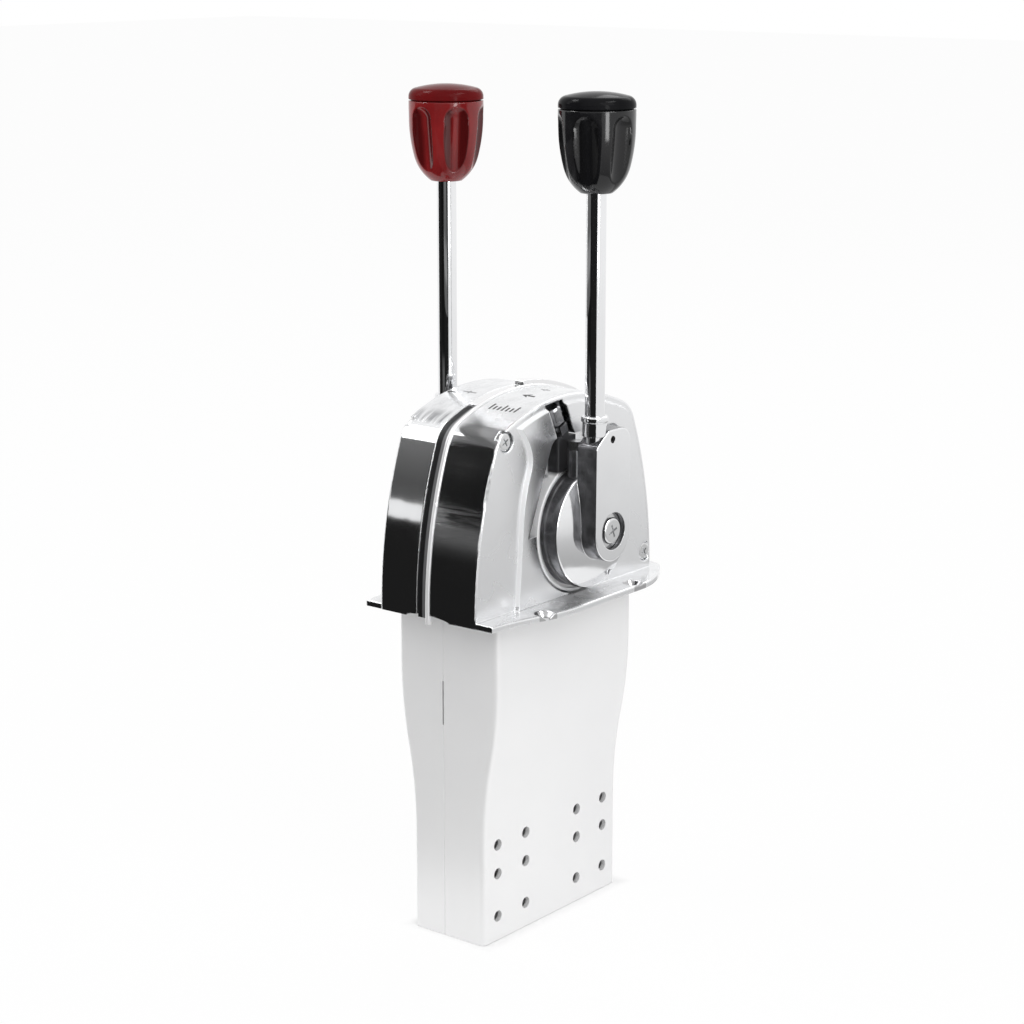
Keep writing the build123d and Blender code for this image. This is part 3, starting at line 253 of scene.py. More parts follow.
def chrome_cover(name):
    """The covers: satin sides and slopes, a cloudy crown, and fine lines across the end bands."""
    s = Shader(name)
    haze = s.noise(30, detail=4)
    side = s.size_of(s.normal("X"))
    band = s.span(side, *BAND_NORMAL_X)
    crown = s.times(band, s.span(s.normal("Z"), *CROWN_NORMAL_Z))
    cloud = s.noise(85, stretch=(1, 0.6, 1), detail=5, rough=0.65)

    # Wear of the bands: faint sweeps everywhere, and a hatched patch on the right-hand cover
    lines = s.noise(900, stretch=(0.03, 1, 1), detail=3, rough=0.7)
    sweep = s.noise(70, stretch=(0.15, 1, 1), detail=2)
    hatch = s.span(s.noise(520, stretch=(0.05, 1, 1), detail=4, rough=0.7), 0.38, 0.62)
    hatch = s.times(hatch, s.span(s.axis("X"), *HATCH_X))
    hatch = s.times(s.window(s.axis("Z"), *HATCH_Z), hatch)
    worn = s.math("MAXIMUM", s.times(s.span(sweep, 0.45, 0.7), SWEEP_WEAR), hatch)
    worn = s.times(band, worn)

    # The slope between the side and the plateau round the lever, and the flange's top
    slope = s.times(s.window(side, *SLOPE_NORMAL_X), s.span(s.axis("Z"), *SLOPE_Z))
    level = s.span(s.normal("Z"), *FLANGE_TOP_NORMAL_Z)
    flange = s.times(s.span(s.axis("Z"), *FLANGE_TOP_Z), level)
    slope_metal = s.span(slope, 0, 1, 1.0, SLOPE_METAL)
    metal = s.times(slope_metal, s.span(flange, 0, 1, 1.0, FLANGE_METAL))

    rough = s.span(haze, 0.35, 0.75, 0.05, 0.1)
    rough = s.plus(rough, s.times(worn, s.span(lines, 0.3, 0.8, 0.04, 0.26)))
    rough = s.plus(rough, s.times(crown, s.span(cloud, 0.3, 0.7, 0.1, 0.24)))
    rough = s.plus(rough, s.times(slope, SLOPE_SATIN))
    rough = s.plus(rough, s.span(side, *SATIN_NORMAL_X, 0.0, SIDE_SATIN))

    # A rubbed patch on the left-hand crown, and painted shade in the countersinks of the deck
    # bolts
    rubbed = s.times(s.span(s.axis("X"), *RUBBED_X), s.span(s.axis("Y"), *RUBBED_Y))
    rubbed = s.times(rubbed, s.window(s.axis("Z"), *RUBBED_Z))
    strokes = s.span(s.noise(420, stretch=(1, 0.08, 0.08), detail=3), 0.35, 0.6)
    off_x = s.size_of(s.minus(s.size_of(s.axis("X")), BOLT_X))
    off_y = s.size_of(s.minus(s.size_of(s.axis("Y")), BOLT_Y))
    sink_shade = s.span(s.math("MAXIMUM", off_x, off_y), *SINK_REACH)
    sink_shade = s.times(sink_shade, s.span(s.normal("Z"), *SINK_NORMAL_Z))

    tint = s.mix(s.span(haze, 0.3, 0.8), PLATE, PLATE_HAZE)
    tint = s.mix(s.times(crown, s.span(cloud, 0.42, 0.66)), tint, CLOUDED_PLATE)
    tint = s.mix(s.times(rubbed, strokes), tint, RUBBED_PLATE)
    # Painted shade darkens the countersinks
    tint = s.mix(sink_shade, tint, SINK_SHADE_PLATE)

    peel = s.bump(s.noise(120, detail=1), ORANGE_PEEL, after=s.worn_edge(COVER_EDGE))
    scratch = s.bump(lines, SCRATCHES, s.times(worn, SCRATCH_DEPTH), after=peel)
    return s.set(Base_Color=tint, Metallic=metal, Roughness=rough, Normal=scratch)


def chrome_arm(name):
    """The lever castings: polished outer faces, and dull plate on the narrow sides, darkened with
    painted shade.
    """
    s = Shader(name)
    haze = s.noise(38, detail=4)
    cloud = s.noise(120, detail=4, rough=0.6)
    narrow = s.span(s.size_of(s.normal("X")), *NARROW_NORMAL_X)
    side_shade = s.mix(s.span(cloud, 0.4, 0.7), ARM_SIDE_SHADE, PALE_ARM_SIDE_SHADE)
    bright = s.mix(s.span(haze, 0.3, 0.8), PLATE, PLATE_HAZE)
    rough = s.plus(s.span(haze, 0.35, 0.75, 0.06, 0.13), s.times(narrow, NARROW_SATIN))
    normal = s.bump(s.noise(140, detail=1), ORANGE_PEEL, after=s.worn_edge(EDGE))
    metal = s.span(narrow, 0, 1, 1.0, NARROW_METAL)
    # The narrow sides take the painted shade
    shade = s.mix(narrow, bright, side_shade)
    return s.set(Base_Color=shade, Metallic=metal, Roughness=rough, Normal=normal)


def satin_case(name):
    """Silver-coated sheet: fine grain, soft cloudy change of shade."""
    s = Shader(name)
    cloud = s.noise(9, detail=3)
    grain = s.noise(2600, detail=2)
    rough = s.span(grain, 0.3, 0.7, 0.34, 0.46)
    shade = s.mix(s.span(cloud, 0.3, 0.7), SATIN, SATIN_CLOUD)
    return s.set(Base_Color=shade, Metallic=0.22, Roughness=rough, Normal=s.bump(grain, GRAIN))


def turned(name, tint, shine):
    """Machined metal, with fine rings of tool marks round the part's own X axis."""
    s = Shader(name)
    marks = s.noise(1500, stretch=(1, 0.2, 0.2), detail=2)
    haze = s.noise(60, detail=3)
    rough = s.plus(s.span(haze, 0.3, 0.7, shine, shine * 1.5), s.span(marks, 0.3, 0.8, 0, 0.08))
    shade = s.mix(s.span(haze, 0.3, 0.8), tint, shaded(tint, 0.9))
    normal = s.bump(marks, TOOL_MARKS)
    return s.set(Base_Color=shade, Metallic=1.0, Roughness=rough, Normal=normal)


def ring_and_lug(name):
    """One casting: the turned ring is satin bright, and the lug above it is dark and dull.

    One flank of the lug is bright too.
    """
    s = Shader(name)
    above = s.span(s.axis("Z"), *LUG_Z)
    flank = s.times(s.span(s.normal("Y"), *FLANK_NORMAL_Y), s.span(s.axis("Y"), *FLANK_Y))
    flank = s.times(flank, s.span(s.axis("X"), *FLANK_X))
    lug = s.times(above, s.minus(1.0, flank))
    grain = s.noise(1600, detail=2)
    cloud = s.noise(55, detail=3)
    bright = s.mix(s.span(cloud, 0.3, 0.8), LUSTRE, RING_CLOUD)
    shade = s.mix(lug, bright, LUG_DARK)
    rough = s.plus(s.span(grain, 0.3, 0.7, 0.3, 0.4), s.times(lug, LUG_SATIN))
    metal = s.span(lug, 0, 1, RING_METAL, LUG_METAL)
    normal = s.bump(grain, GRAIN, after=s.worn_edge(EDGE))
    return s.set(Base_Color=shade, Metallic=metal, Roughness=rough, Normal=normal)


def dull(name, tint, shine=0.5, metal=0.0):
    """A plain matt finish with a fine grain."""
    s = Shader(name)
    grain = s.noise(1400, detail=2)
    cloud = s.noise(40, detail=3)
    shade = s.mix(s.span(cloud, 0.3, 0.8), tint, shaded(tint, 0.82))
    rough = s.span(grain, 0.3, 0.7, shine * 0.85, shine * 1.15)
    return s.set(Base_Color=shade, Metallic=metal, Roughness=rough, Normal=s.bump(grain, GRAIN))


def shaded_groove(name):
    """The plate's rim down in the seam: painted shade, nearly black, with a paler line beside the
    bead.
    """
    s = Shader(name)
    grain = s.noise(1400, detail=2)
    shade = s.mix(s.span(s.axis("X"), *GROOVE_LINE_X), GROOVE_SHADE, GROOVE_HALF_SHADE)
    rough = s.span(grain, 0.3, 0.7, 0.45, 0.6)
    return s.set(Base_Color=shade, Metallic=0.5, Roughness=rough, Normal=s.bump(grain, GRAIN))


def bright_bead(name):
    """The bead along the seam: bright rolled trim with a soft lustre."""
    s = Shader(name)
    haze = s.noise(60, detail=3)
    rough = s.span(haze, 0.35, 0.75, 0.2, 0.3)
    shade = s.mix(s.span(haze, 0.3, 0.8), LUSTRE, BEAD_CLOUD)
    normal = s.bump(s.noise(140, detail=1), ORANGE_PEEL, after=s.worn_edge(EDGE))
    return s.set(Base_Color=shade, Metallic=0.35, Roughness=rough, Normal=normal)


def knob_gloss(name, side, tint, deep, index=1.5, skin=0.15):
    """Gloss-moulded plastic under a clear skin, with painted shade on the walls of the flutes.

    A wall is where the normal turns away from the line out from the knob's own axis.
    """
    s = Shader(name)
    low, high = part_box(f"{side}_knob_body")
    out_x, out_y = (s.minus(s.axis(k), (low[i] + high[i]) / 2) for i, k in enumerate("XY"))
    reach = s.math("SQRT", s.plus(s.times(out_x, out_x), s.times(out_y, out_y)))
    turn = s.minus(s.times(out_x, s.normal("Y")), s.times(out_y, s.normal("X")))
    wall = s.span(s.size_of(s.math("DIVIDE", turn, reach)), *FLUTE_WALL)
    flow = s.noise(55, detail=3)
    marks = s.noise(420, stretch=(1, 1, 0.25), detail=3)
    shade = s.mix(s.span(flow, 0.3, 0.75), tint, deep)
    # Painted shade on the flute walls
    shade = s.mix(wall, shade, shaded(deep, WALL_SHADE))
    rough = s.span(marks, 0.55, 0.8, 0.09, 0.2)
    peel = s.bump(s.noise(260, detail=1), TOOL_MARKS, after=s.worn_edge(KNOB_EDGE))
    s.set(Coat_Weight=skin, Coat_Roughness=0.04, IOR=index, Specular_IOR_Level=0.35)
    return s.set(Base_Color=shade, Roughness=rough, Normal=peel)


BLACK, BLACK_DEEP = (0.006, 0.006, 0.007), (0.012, 0.012, 0.013)
RED, RED_DEEP, RED_DEEPER = (0.25, 0.016, 0.017), (0.15, 0.009, 0.010), (0.1, 0.006, 0.007)
CAP_INDEX, NO_SKIN = 1.12, 0.0
MATERIALS = {
    "chrome_cover": chrome_cover("chrome_cover_look"),
    "chrome_arm": chrome_arm("chrome_arm_look"),
    "chrome_rod": chrome("chrome_rod_look", shine=0.04),
    "chrome_trim": chrome("chrome_trim_look", tint=(0.9, 0.9, 0.905), shine=0.06),
    "satin_case": satin_case("satin_case_look"),
    "polished_steel": ring_and_lug("polished_steel_look"),
    "shaft_steel": turned("shaft_steel_look", (0.62, 0.62, 0.63), 0.2),
    "stainless_fastener": turned("stainless_look", (0.74, 0.745, 0.75), 0.13),
    "black_screw": dull("black_screw_look", (0.02, 0.02, 0.02), 0.4, 0.4),
    "spring_steel": turned("spring_steel_look", (0.42, 0.43, 0.46), 0.25),
    "zinc_plate": turned("zinc_plate_look", (0.56, 0.57, 0.58), 0.35),
    "dark_core": dull("dark_core_look", (0.018, 0.018, 0.02), 0.42, 0.2),
    "bronze": turned("bronze_look", (0.55, 0.36, 0.16), 0.3),
    "brass": turned("brass_look", (0.72, 0.54, 0.24), 0.22),
    "black_nylon": dull("black_nylon_look", (0.02, 0.02, 0.02), 0.6),
    "knob_black": knob_gloss("knob_black_look", "right", BLACK, BLACK_DEEP),
    "knob_red": knob_gloss("knob_red_look", "left", RED, RED_DEEP),
}

ADJUSTER = turned("adjuster_look", (0.30, 0.30, 0.31), 0.12)
# Nodes whose finish isn't the usual one of their slot
SPECIAL = {
    # The seam's plate is painted with shade
    "centre_plate": shaded_groove("groove_shade_look"),
    "seam_bead": bright_bead("bead_look"),
    "right_knob_cap": knob_gloss("black_cap_look", "right", BLACK, BLACK_DEEP, CAP_INDEX, NO_SKIN),
    "left_knob_cap": knob_gloss("red_cap_look", "left", RED_DEEP, RED_DEEPER, CAP_INDEX, NO_SKIN),
    "right_adjuster_screw": ADJUSTER,
    "left_adjuster_screw": ADJUSTER,
    "right_jam_nut": ADJUSTER,
    "left_jam_nut": ADJUSTER,
}


def paint(thing, material):
    for slot in thing.material_slots:
        slot.material = material


for entry in frame["record"]["subparts"]:
    node = entry["node"]
    paint(NODES[node], SPECIAL.get(node, MATERIALS[entry["material_slot"]]))


# ---- new objects ----
def placed(name, data):
    thing = bpy.data.objects.new(name, data)
    bpy.context.scene.collection.objects.link(thing)
    return thing


def mesh_of(name, bm, material):
    bmesh.ops.recalc_face_normals(bm, faces=bm.faces)
    mesh = bpy.data.meshes.new(name)
    bm.to_mesh(mesh)
    bm.free()
    mesh.materials.append(material)
    return mesh


def join_rings(bm, lower, upper):
    """Faces that wrap round between two rings of the same number of points."""
    for i in range(len(lower)):
        j = (i + 1) % len(lower)
        bm.faces.new((lower[i], lower[j], upper[j], upper[i]))


# ---- knob bodies, with six scoops round each: millimetres and degrees ----
KNOB_R, KNOB_TOP_Z, KNOB_STRAIGHT_Z, KNOB_RIM = 18.9, 246.6, 238.0, 0.3
KNOB_BELLY_R, KNOB_BELLY_Z, KNOB_FOOT_R, KNOB_FOOT_Z = 16.4, 218.9, 8.0, 206.5
FLUTES, FLUTE_TOP_Z, FLUTE_R, FLUTE_DEPTH, FLUTE_ARCH = 6, 245.6, 9.0, 2.7, 7.0
FLUTE_LEAN = math.tan(math.radians(5.0))
FLUTE_FIRST = {"right": -11.0, "left": -33.0}
FLUTE_PITCH = 2 * math.pi / FLUTES
FLUTE_SOFT, SOFT_REACH = 0.25, 3
ROD_HOLE_R, INSERT_R, INSERT_LOW_Z, INSERT_HIGH_Z = 5.05, 6.6, 208.5, 222.5
KNOB_SIDES, KNOB_ROWS, KNOB_SHARP = 288, 120, 40


def tangent_arc(start, inward, end):
    """(x, y, radius) of the circle through start and end that is square to inward at start."""
    x, y = end[0] - start[0], end[1] - start[1]
    radius = (x**2 + y**2) / (2 * (x * inward[0] + y * inward[1]))
    return start[0] + radius * inward[0], start[1] + radius * inward[1], radius


def toward(start, end):
    """The direction from start to end, with a length of 1."""
    reach = math.dist(start, end)
    return (end[0] - start[0]) / reach, (end[1] - start[1]) / reach


# Each arc is (distance of its centre from the knob's axis, height of its centre, its radius)
KNOB_BELLY = (KNOB_BELLY_R, KNOB_BELLY_Z)
UPPER_ARC = tangent_arc((KNOB_R, KNOB_STRAIGHT_Z), (-1, 0), KNOB_BELLY)
LOWER_ARC = tangent_arc(KNOB_BELLY, toward(KNOB_BELLY, UPPER_ARC[:2]), (KNOB_FOOT_R, KNOB_FOOT_Z))


def knob_radius(z):
    """Radius of the plain turned form: a straight rim, then two arcs that meet smoothly."""
    if z >= KNOB_STRAIGHT_Z:
        return KNOB_R
    middle, height, radius = UPPER_ARC if z >= KNOB_BELLY_Z else LOWER_ARC
    return middle + math.sqrt(radius**2 - (z - height) ** 2)


def scooped(radius, z, angle):
    """The radius where a leaning round cutter, arched at its top, has scooped the knob."""
    down = FLUTE_TOP_Z - z
    if down <= 0:
        return radius
    cutter = FLUTE_R
    if down < FLUTE_ARCH:
        cutter = FLUTE_R - FLUTE_ARCH + math.sqrt(FLUTE_ARCH**2 - (FLUTE_ARCH - down) ** 2)
    away = KNOB_R - FLUTE_DEPTH + FLUTE_R - FLUTE_LEAN * down
    inside = cutter**2 - (away * math.sin(angle)) ** 2
    if inside <= 0:
        return radius
    cut = away * math.cos(angle) - math.sqrt(inside)
    half = (cut - radius) / 2
    if half >= FLUTE_SOFT * SOFT_REACH:
        return radius
    return (cut + radius) / 2 - math.sqrt(half**2 + FLUTE_SOFT**2 / 4)


def knob_profile():
    """Rows of (radius, height) down the hole and up the wall; None takes the turned radius."""
    rows = [
        (INSERT_R, INSERT_HIGH_Z),
        (INSERT_R, INSERT_LOW_Z),
        (ROD_HOLE_R, INSERT_LOW_Z),
        (ROD_HOLE_R, KNOB_FOOT_Z),
    ]
    tall = KNOB_TOP_Z - KNOB_RIM - KNOB_FOOT_Z
    rows += [(None, KNOB_FOOT_Z + tall * i / KNOB_ROWS) for i in range(KNOB_ROWS + 1)]
    return rows + [(KNOB_R - KNOB_RIM, KNOB_TOP_Z)]


def knob_body(side):
    low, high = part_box(f"{side}_knob_body")
    mid_x, mid_y = (low[0] + high[0]) / 2, (low[1] + high[1]) / 2
    first = math.radians(FLUTE_FIRST[side])
    bm = bmesh.new()
    rings = []
    for radius, z in knob_profile():
        ring = []
        for i in range(KNOB_SIDES):
            angle = 2 * math.pi * i / KNOB_SIDES
            turn = (angle - first + FLUTE_PITCH / 2) % FLUTE_PITCH - FLUTE_PITCH / 2
            reach = scooped(knob_radius(z), z, turn) if radius is None else radius
            x = mid_x + reach * math.cos(angle) / MM_PER_M
            y = mid_y + reach * math.sin(angle) / MM_PER_M
            ring.append(bm.verts.new((x, y, z / MM_PER_M)))
        rings.append(ring)
    for lower, upper in zip(rings, rings[1:]):
        join_rings(bm, lower, upper)
    bm.faces.new(rings[0][::-1])
    bm.faces.new(rings[-1])
    slot = {"right": "knob_black", "left": "knob_red"}[side]
    mesh = mesh_of(f"{side}_fluted_knob", bm, MATERIALS[slot])
    mesh.shade_smooth()
    mesh.set_sharp_from_angle(angle=math.radians(KNOB_SHARP))
    thing = placed(f"{side}_fluted_knob", mesh)
    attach(thing, f"{side}_lever")
    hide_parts(f"{side}_knob_body")


knob_body("right")
knob_body("left")


# ---- printed marks on the crowns: plain ticks, dashes and arrows, laid out in millimetres ----
MARK_SUNK, MARK_PROUD = 0.00003, 0.00009
ABOVE_CROWN, NO_CROWN_Z = 0.2, 0.1
ARROW_WAIST = 0.62
INK = dull("ink_look", (0.035, 0.035, 0.037), 0.5)
FAINT_INK = dull("faint_ink_look", (0.30, 0.30, 0.31), 0.5)


def crown_height(cover, x, y):
    found, place, _, _ = cover.ray_cast(Vector((x, y, ABOVE_CROWN)), Vector((0, 0, -1)))
    return place.z if found else NO_CROWN_Z


def printed_marks(name, cover, outlines, ink):
    """Thin flat marks that follow the crown; each outline is a list of (x, y)."""
    bm = bmesh.new()
    for outline in outlines:
        points = [(x / MM_PER_M, y / MM_PER_M) for x, y in outline]
        heights = [crown_height(NODES[cover], x, y) for x, y in points]
        low, high = (
            [bm.verts.new((x, y, z + lift)) for (x, y), z in zip(points, heights)]
            for lift in (-MARK_SUNK, MARK_PROUD)
        )
        bm.faces.new(high)
        bm.faces.new(low[::-1])
        join_rings(bm, low, high)
    thing = placed(name, mesh_of(name, bm, ink))
    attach(thing, "housing")


def bar(x, y, wide, deep):
    return [(x, y), (x + wide, y), (x + wide, y + deep), (x, y + deep)]


def arrow(x, y, length, half):
    """A plain arrow head that points along -X."""
    return [(x, y), (x + length, y + half), (x + length * ARROW_WAIST, y), (x + length, y - half)]


TICKS, TICK_X, TICK_Y, TICK_STEP = 7, 6.6, -33.4, 2.6
TICK_WIDE, TICK_SHORT, TICK_LONG, LONG_EVERY = 1.0, 3.6, 5.6, 3
ticks = [
    bar(TICK_X + TICK_STEP * i, TICK_Y, TICK_WIDE, TICK_SHORT if i % LONG_EVERY else TICK_LONG)
    for i in range(TICKS)
]
right_arrow = [arrow(11.6, -12.2, 4.4, 2.6), bar(15.2, -12.8, 4.0, 1.2)]
left_arrow = [arrow(-30.0, -21.6, 3.6, 2.0), bar(-27.0, -22.1, 3.4, 0.9)]
right_dashes = [bar(11.6, 2.6, 5.4, 0.7), bar(14.0, 1.2, 0.7, 3.4)]
left_dashes = [bar(-21.2, -19.2, 8.4, 0.6), bar(-17.4, -20.4, 0.7, 3.0)]
printed_marks("right_tick_marks", "right_cover", ticks, INK)
printed_marks("right_arrow_mark", "right_cover", right_arrow, INK)
printed_marks("right_faint_marks", "right_cover", right_dashes, FAINT_INK)
printed_marks("left_arrow_mark", "left_cover", left_arrow, INK)
printed_marks("left_faint_marks", "left_cover", left_dashes, FAINT_INK)


# ---- camera: 38.5 degrees round from the front, 13.5 above level ----
CAM_PLACE = (0.7546, -0.9541, 0.3336)
CAM_RIGHT = Vector((0.7824, 0.6228, 0.0)).normalized()
CAM_UP = Vector((-0.1458, 0.1832, 0.9722)).normalized()
CAM_BACK = CAM_RIGHT.cross(CAM_UP).normalized()
CAM_UP = CAM_BACK.cross(CAM_RIGHT)
cam_data = bpy.data.cameras.new("camera")
cam_data.sensor_width = 36.0
cam_data.lens = 86.12
cam_data.clip_start, cam_data.clip_end = 0.05, 40.0
camera = placed("camera", cam_data)
rotation = Matrix((CAM_RIGHT, CAM_UP, CAM_BACK)).transposed().to_4x4()
camera.matrix_world = Matrix.Translation(CAM_PLACE) @ rotation
bpy.context.scene.camera = camera


# ---- floor ----
FLOOR_Z = CAD_BOX[0][2] - 0.0002
FLOOR_GLOW = 0.94
FLOOR_REACH = 9
SQUARE = [(0, 1, 2, 3)]
# The floor doesn't glow under the case; each pair is (dark, bright) out from its middle
UNDER_CASE_X, UNDER_CASE_Y = (0.024, 0.030), (0.056, 0.062)


def flat_object(name, verts, faces, material):
    mesh = bpy.data.meshes.new(name)
    mesh.from_pydata(verts, [], faces)
    mesh.materials.append(material)
    return placed(name, mesh)


def floor_material():
    """Pale matt floor that camera and reflections see as nearly white, with its shadow kept."""
    s = Shader("floor_white")
    s.set(Base_Color=(0.93, 0.93, 0.93), Roughness=0.9, Specular_IOR_Level=0.0)
    glow = s.node("ShaderNodeEmission")
    glow.inputs["Color"].default_value = WHITE
    blend = s.node("ShaderNodeMixShader")
    across = s.span(s.size_of(s.axis("X")), *UNDER_CASE_X)
    along = s.span(s.size_of(s.axis("Y")), *UNDER_CASE_Y)
    open_floor = s.math("MAXIMUM", across, along)
    s.join(s.times(s.times(s.looked_at(), open_floor), FLOOR_GLOW), blend.inputs["Fac"])
    s.join(s.bsdf.outputs[0], blend.inputs[1])
    s.join(glow.outputs[0], blend.inputs[2])
    s.join(blend.outputs[0], s.surface)
    return s.mat


def floor():
    corners = [(-1, -1), (1, -1), (1, 1), (-1, 1)]
    verts = [(x * FLOOR_REACH, y * FLOOR_REACH, FLOOR_Z) for x, y in corners]
    thing = flat_object("floor", verts, SQUARE, floor_material())


floor()


# ---- studio cards ----
ARC_STEPS = 24
DARK = 0.013
CLOTH_Z = FLOOR_Z + 0.0008
DARK_SIDE, PALE_SIDE = (-160, -38), (-36, 100)
WALL_R, WALL_TOP_Z, CLOTH_R = 1.6, 0.715, 0.14
PALE_R = (0.4, 2.4)
FLAG_Y, SHOULDER_X, TOP_STRIP_Z = -0.26, -0.03, 1.1
STRIP_GLOW, TOP_GLOW = 9.0, 16.0


def card_material(name, stops, by_distance=False, strength=1.0):
    """A glowing card whose level follows its height, or its distance from the middle.

    Each stop is (height or distance in metres, level).
    """
    s = Shader(name)
    if by_distance:
        squares = [s.times(s.axis(k), s.axis(k)) for k in ("X", "Y")]
        where = s.math("SQRT", s.plus(*squares))
    else:
        where = s.axis("Z")
    low, high = stops[0][0], stops[-1][0]
    ramp = s.node("ShaderNodeValToRGB")
    s.join(s.span(where, low, high), ramp.inputs[0])
    points = ramp.color_ramp.elements
    while len(points) < len(stops):
        points.new(0.5)
    for point, (place, level) in zip(points, stops):
        point.position = (place - low) / (high - low)
        point.color = (level, level, level, 1)
    glow = s.node("ShaderNodeEmission")
    glow.inputs["Strength"].default_value = strength
    s.join(ramp.outputs["Color"], glow.inputs["Color"])
    s.join(glow.outputs[0], s.surface)
    return s.mat


def card(name, verts, faces, material):
    """A studio card that only reflections see."""
    thing = flat_object(name, verts, faces, material)
    thing.visible_camera = False
    thing.visible_diffuse = False
    thing.visible_shadow = False
    thing.visible_transmission = False
    thing.visible_volume_scatter = False


def arc_card(name, rims, angles, material):
    """A card bent in an arc round the object, between two rims given as (radius, height)."""
    first, last = (math.radians(a) for a in angles)
    verts = []
    for i in range(ARC_STEPS + 1):
        angle = first + (last - first) * i / ARC_STEPS
        verts += [(r * math.cos(angle), r * math.sin(angle), z) for r, z in rims]
    faces = [(2 * i, 2 * i + 2, 2 * i + 3, 2 * i + 1) for i in range(ARC_STEPS)]
    card(name, verts, faces, material)


def lamp_card(name, verts, power):
    """A bright strip of one level all over."""
    card(name, verts, SQUARE, card_material(name, [(-1, 1), (3, 1)], strength=power))


def upright(angles, radius, low, high):
    first, last = ((radius * math.cos(a), radius * math.sin(a)) for a in map(math.radians, angles))
    return [(*first, low), (*last, low), (*last, high), (*first, high)]


def overhead(x_ends, y_ends):
    (x0, x1), (y0, y1) = x_ends, y_ends
    return [(x, y, TOP_STRIP_Z) for x, y in ((x0, y0), (x1, y0), (x1, y1), (x0, y1))]


# The dark side of the studio, with one lit strip low on it and light coming in from above
WALL = card_material("dark_wall", [
    (FLOOR_Z, DARK), (0.150, DARK), (0.158, 0.95), (0.262, 0.95),
    (0.270, 0.10), (0.40, 0.085), (0.55, 0.12), (WALL_TOP_Z, 0.17),
])
arc_card("dark_wall", [(WALL_R, FLOOR_Z), (WALL_R, WALL_TOP_Z)], DARK_SIDE, WALL)
CLOTH = card_material("dark_cloth", [(CLOTH_R, DARK), (WALL_R, DARK)], by_distance=True)
arc_card("dark_cloth", [(CLOTH_R, CLOTH_Z), (WALL_R, CLOTH_Z)], DARK_SIDE, CLOTH)

# A black flag close in front, which keeps the lit strip off the right-hand half. Its left edge
# follows the seam's reflection, so that the seam parts a band that shows the strip from one
# that doesn't. The covers' side view is a side arc, a shoulder arc and a crown arc, each (y, z).
SIDE_CENTRE, SIDE_R = (0.149, 0.003), 0.222
CROWN_CENTRE, CROWN_R = (0.0, -0.0117), 0.117
SHOULDER_R = 0.018
SEAM_X = -0.0029
SLOPES = range(0, 41, 2)
FLAG_RIGHT_X, FLAG_LOW_Z = -0.02, -0.17


def shoulder_centre():
    """The front one of the two points that lie a shoulder's radius inside both other arcs."""
    apart = math.dist(SIDE_CENTRE, CROWN_CENTRE)
    side_reach, crown_reach = SIDE_R - SHOULDER_R, CROWN_R - SHOULDER_R
    along = (apart**2 + side_reach**2 - crown_reach**2) / (2 * apart)
    off = math.sqrt(side_reach**2 - along**2)
    y, z = toward(SIDE_CENTRE, CROWN_CENTRE)
    return SIDE_CENTRE[0] + along * y + off * z, SIDE_CENTRE[1] + along * z - off * y


SHOULDER_CENTRE = shoulder_centre()
SHOULDER_SLOPE = math.atan2(
    SHOULDER_CENTRE[1] - SIDE_CENTRE[1], SIDE_CENTRE[0] - SHOULDER_CENTRE[0]
)


def seam_glance(slope):
    """Where the camera's sight line goes on to the flag, from the seam where it leans by slope."""
    out = Vector((0, -math.cos(slope), math.sin(slope)))
    on_side = slope < SHOULDER_SLOPE
    centre, radius = (SIDE_CENTRE, SIDE_R) if on_side else (SHOULDER_CENTRE, SHOULDER_R)
    place = Vector((SEAM_X, *centre)) + radius * out
    onward = (place - Vector(CAM_PLACE)).reflect(out)
    return place + onward * ((FLAG_Y - place.y) / onward.y)


FLAG = card_material("black_flag", [
    (FLAG_LOW_Z, DARK), (0.02, 0.012), (0.032, 0.03), (0.048, 0.10), (0.064, 0.10), (0.074, 0.008),
    (0.240, 0.006), (0.262, 0.03), (0.29, 0.12), (0.38, 0.15), (0.529, 0.2),
])
left_edge = [seam_glance(math.radians(slope)) for slope in SLOPES]
corners = [(left_edge[0].x, FLAG_Y, FLAG_LOW_Z), *left_edge]
corners += [(FLAG_RIGHT_X, FLAG_Y, z) for z in (left_edge[-1].z, FLAG_LOW_Z)]
card("black_flag", corners, [tuple(range(len(corners)))], FLAG)

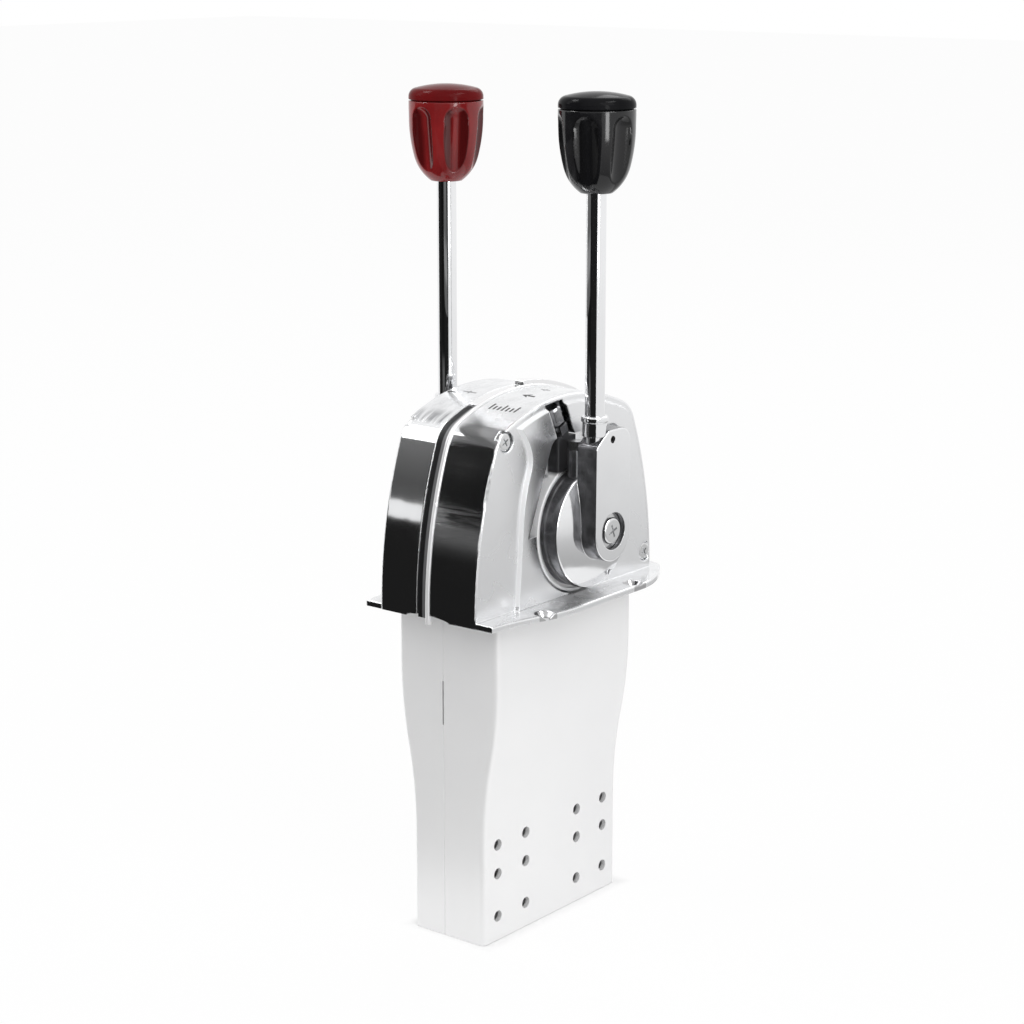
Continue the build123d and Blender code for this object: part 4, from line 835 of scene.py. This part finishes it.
# A small grey card between the levers, which only the right-hand shoulder reflects
SHOULDER = card_material("shoulder_card", [
    (0.10, 0.1), (0.148, 0.13), (0.154, 0.27), (0.166, 0.24), (0.175, 0.12), (0.22, 0.2),
])
SHOULDER_EDGE = [(-0.15, 0.134), (-0.017, 0.134), (-0.025, 0.215), (-0.15, 0.215)]
card("shoulder_card", [(SHOULDER_X, y, z) for y, z in SHOULDER_EDGE], SQUARE, SHOULDER)

# Bright strips that put the long and the top highlights on the knobs and rods
lamp_card("knob_strip", upright((-27, -17), 0.9, 0.05, 0.6), STRIP_GLOW)
lamp_card("left_top_strip", overhead((-0.75, -0.45), (-0.4, 0.0)), TOP_GLOW)
lamp_card("right_top_strip", overhead((0.45, 0.75), (-0.1, 0.3)), TOP_GLOW)

# The floor behind and to the right, which the outer faces reflect, falls off towards the object
PALE = card_material("shaded_floor", [
    (PALE_R[0], 0.46), (0.76, 0.62), (1.0, 0.78), (1.3, 0.88), (PALE_R[1], 0.96),
], by_distance=True)
arc_card("shaded_floor", [(r, CLOTH_Z) for r in PALE_R], PALE_SIDE, PALE)


# ---- lamps and world ----
def area(name, place, target, size, power):
    data = bpy.data.lights.new(name, "AREA")
    data.shape = "RECTANGLE"
    data.size, data.size_y = size
    data.energy = power
    thing = placed(name, data)
    thing.location = place
    direction = Vector(target) - Vector(place)
    thing.rotation_euler = direction.to_track_quat("-Z", "Y").to_euler()


area("key", (1.5, -0.5, 1.5), (0, 0, 0.05), (1.2, 1.2), 14)
area("fill", (-1.4, -1.2, 1.2), (0, 0, 0.0), (1.4, 1.4), 11)
area("back", (-0.4, 1.8, 1.6), (0, 0, 0.05), (1.6, 1.0), 9)

WORLD_LIGHT, WORLD_SEEN = 0.62, 1.0
world = bpy.data.worlds.new("studio")
world.use_nodes = True
bpy.context.scene.world = world
sky = Graph(world.node_tree)
background = sky.tree.nodes["Background"]
background.inputs["Color"].default_value = WHITE
sky.join(sky.span(sky.looked_at(), 0, 1, WORLD_LIGHT, WORLD_SEEN), background.inputs["Strength"])

bpy.context.scene.view_settings.view_transform = "Standard"
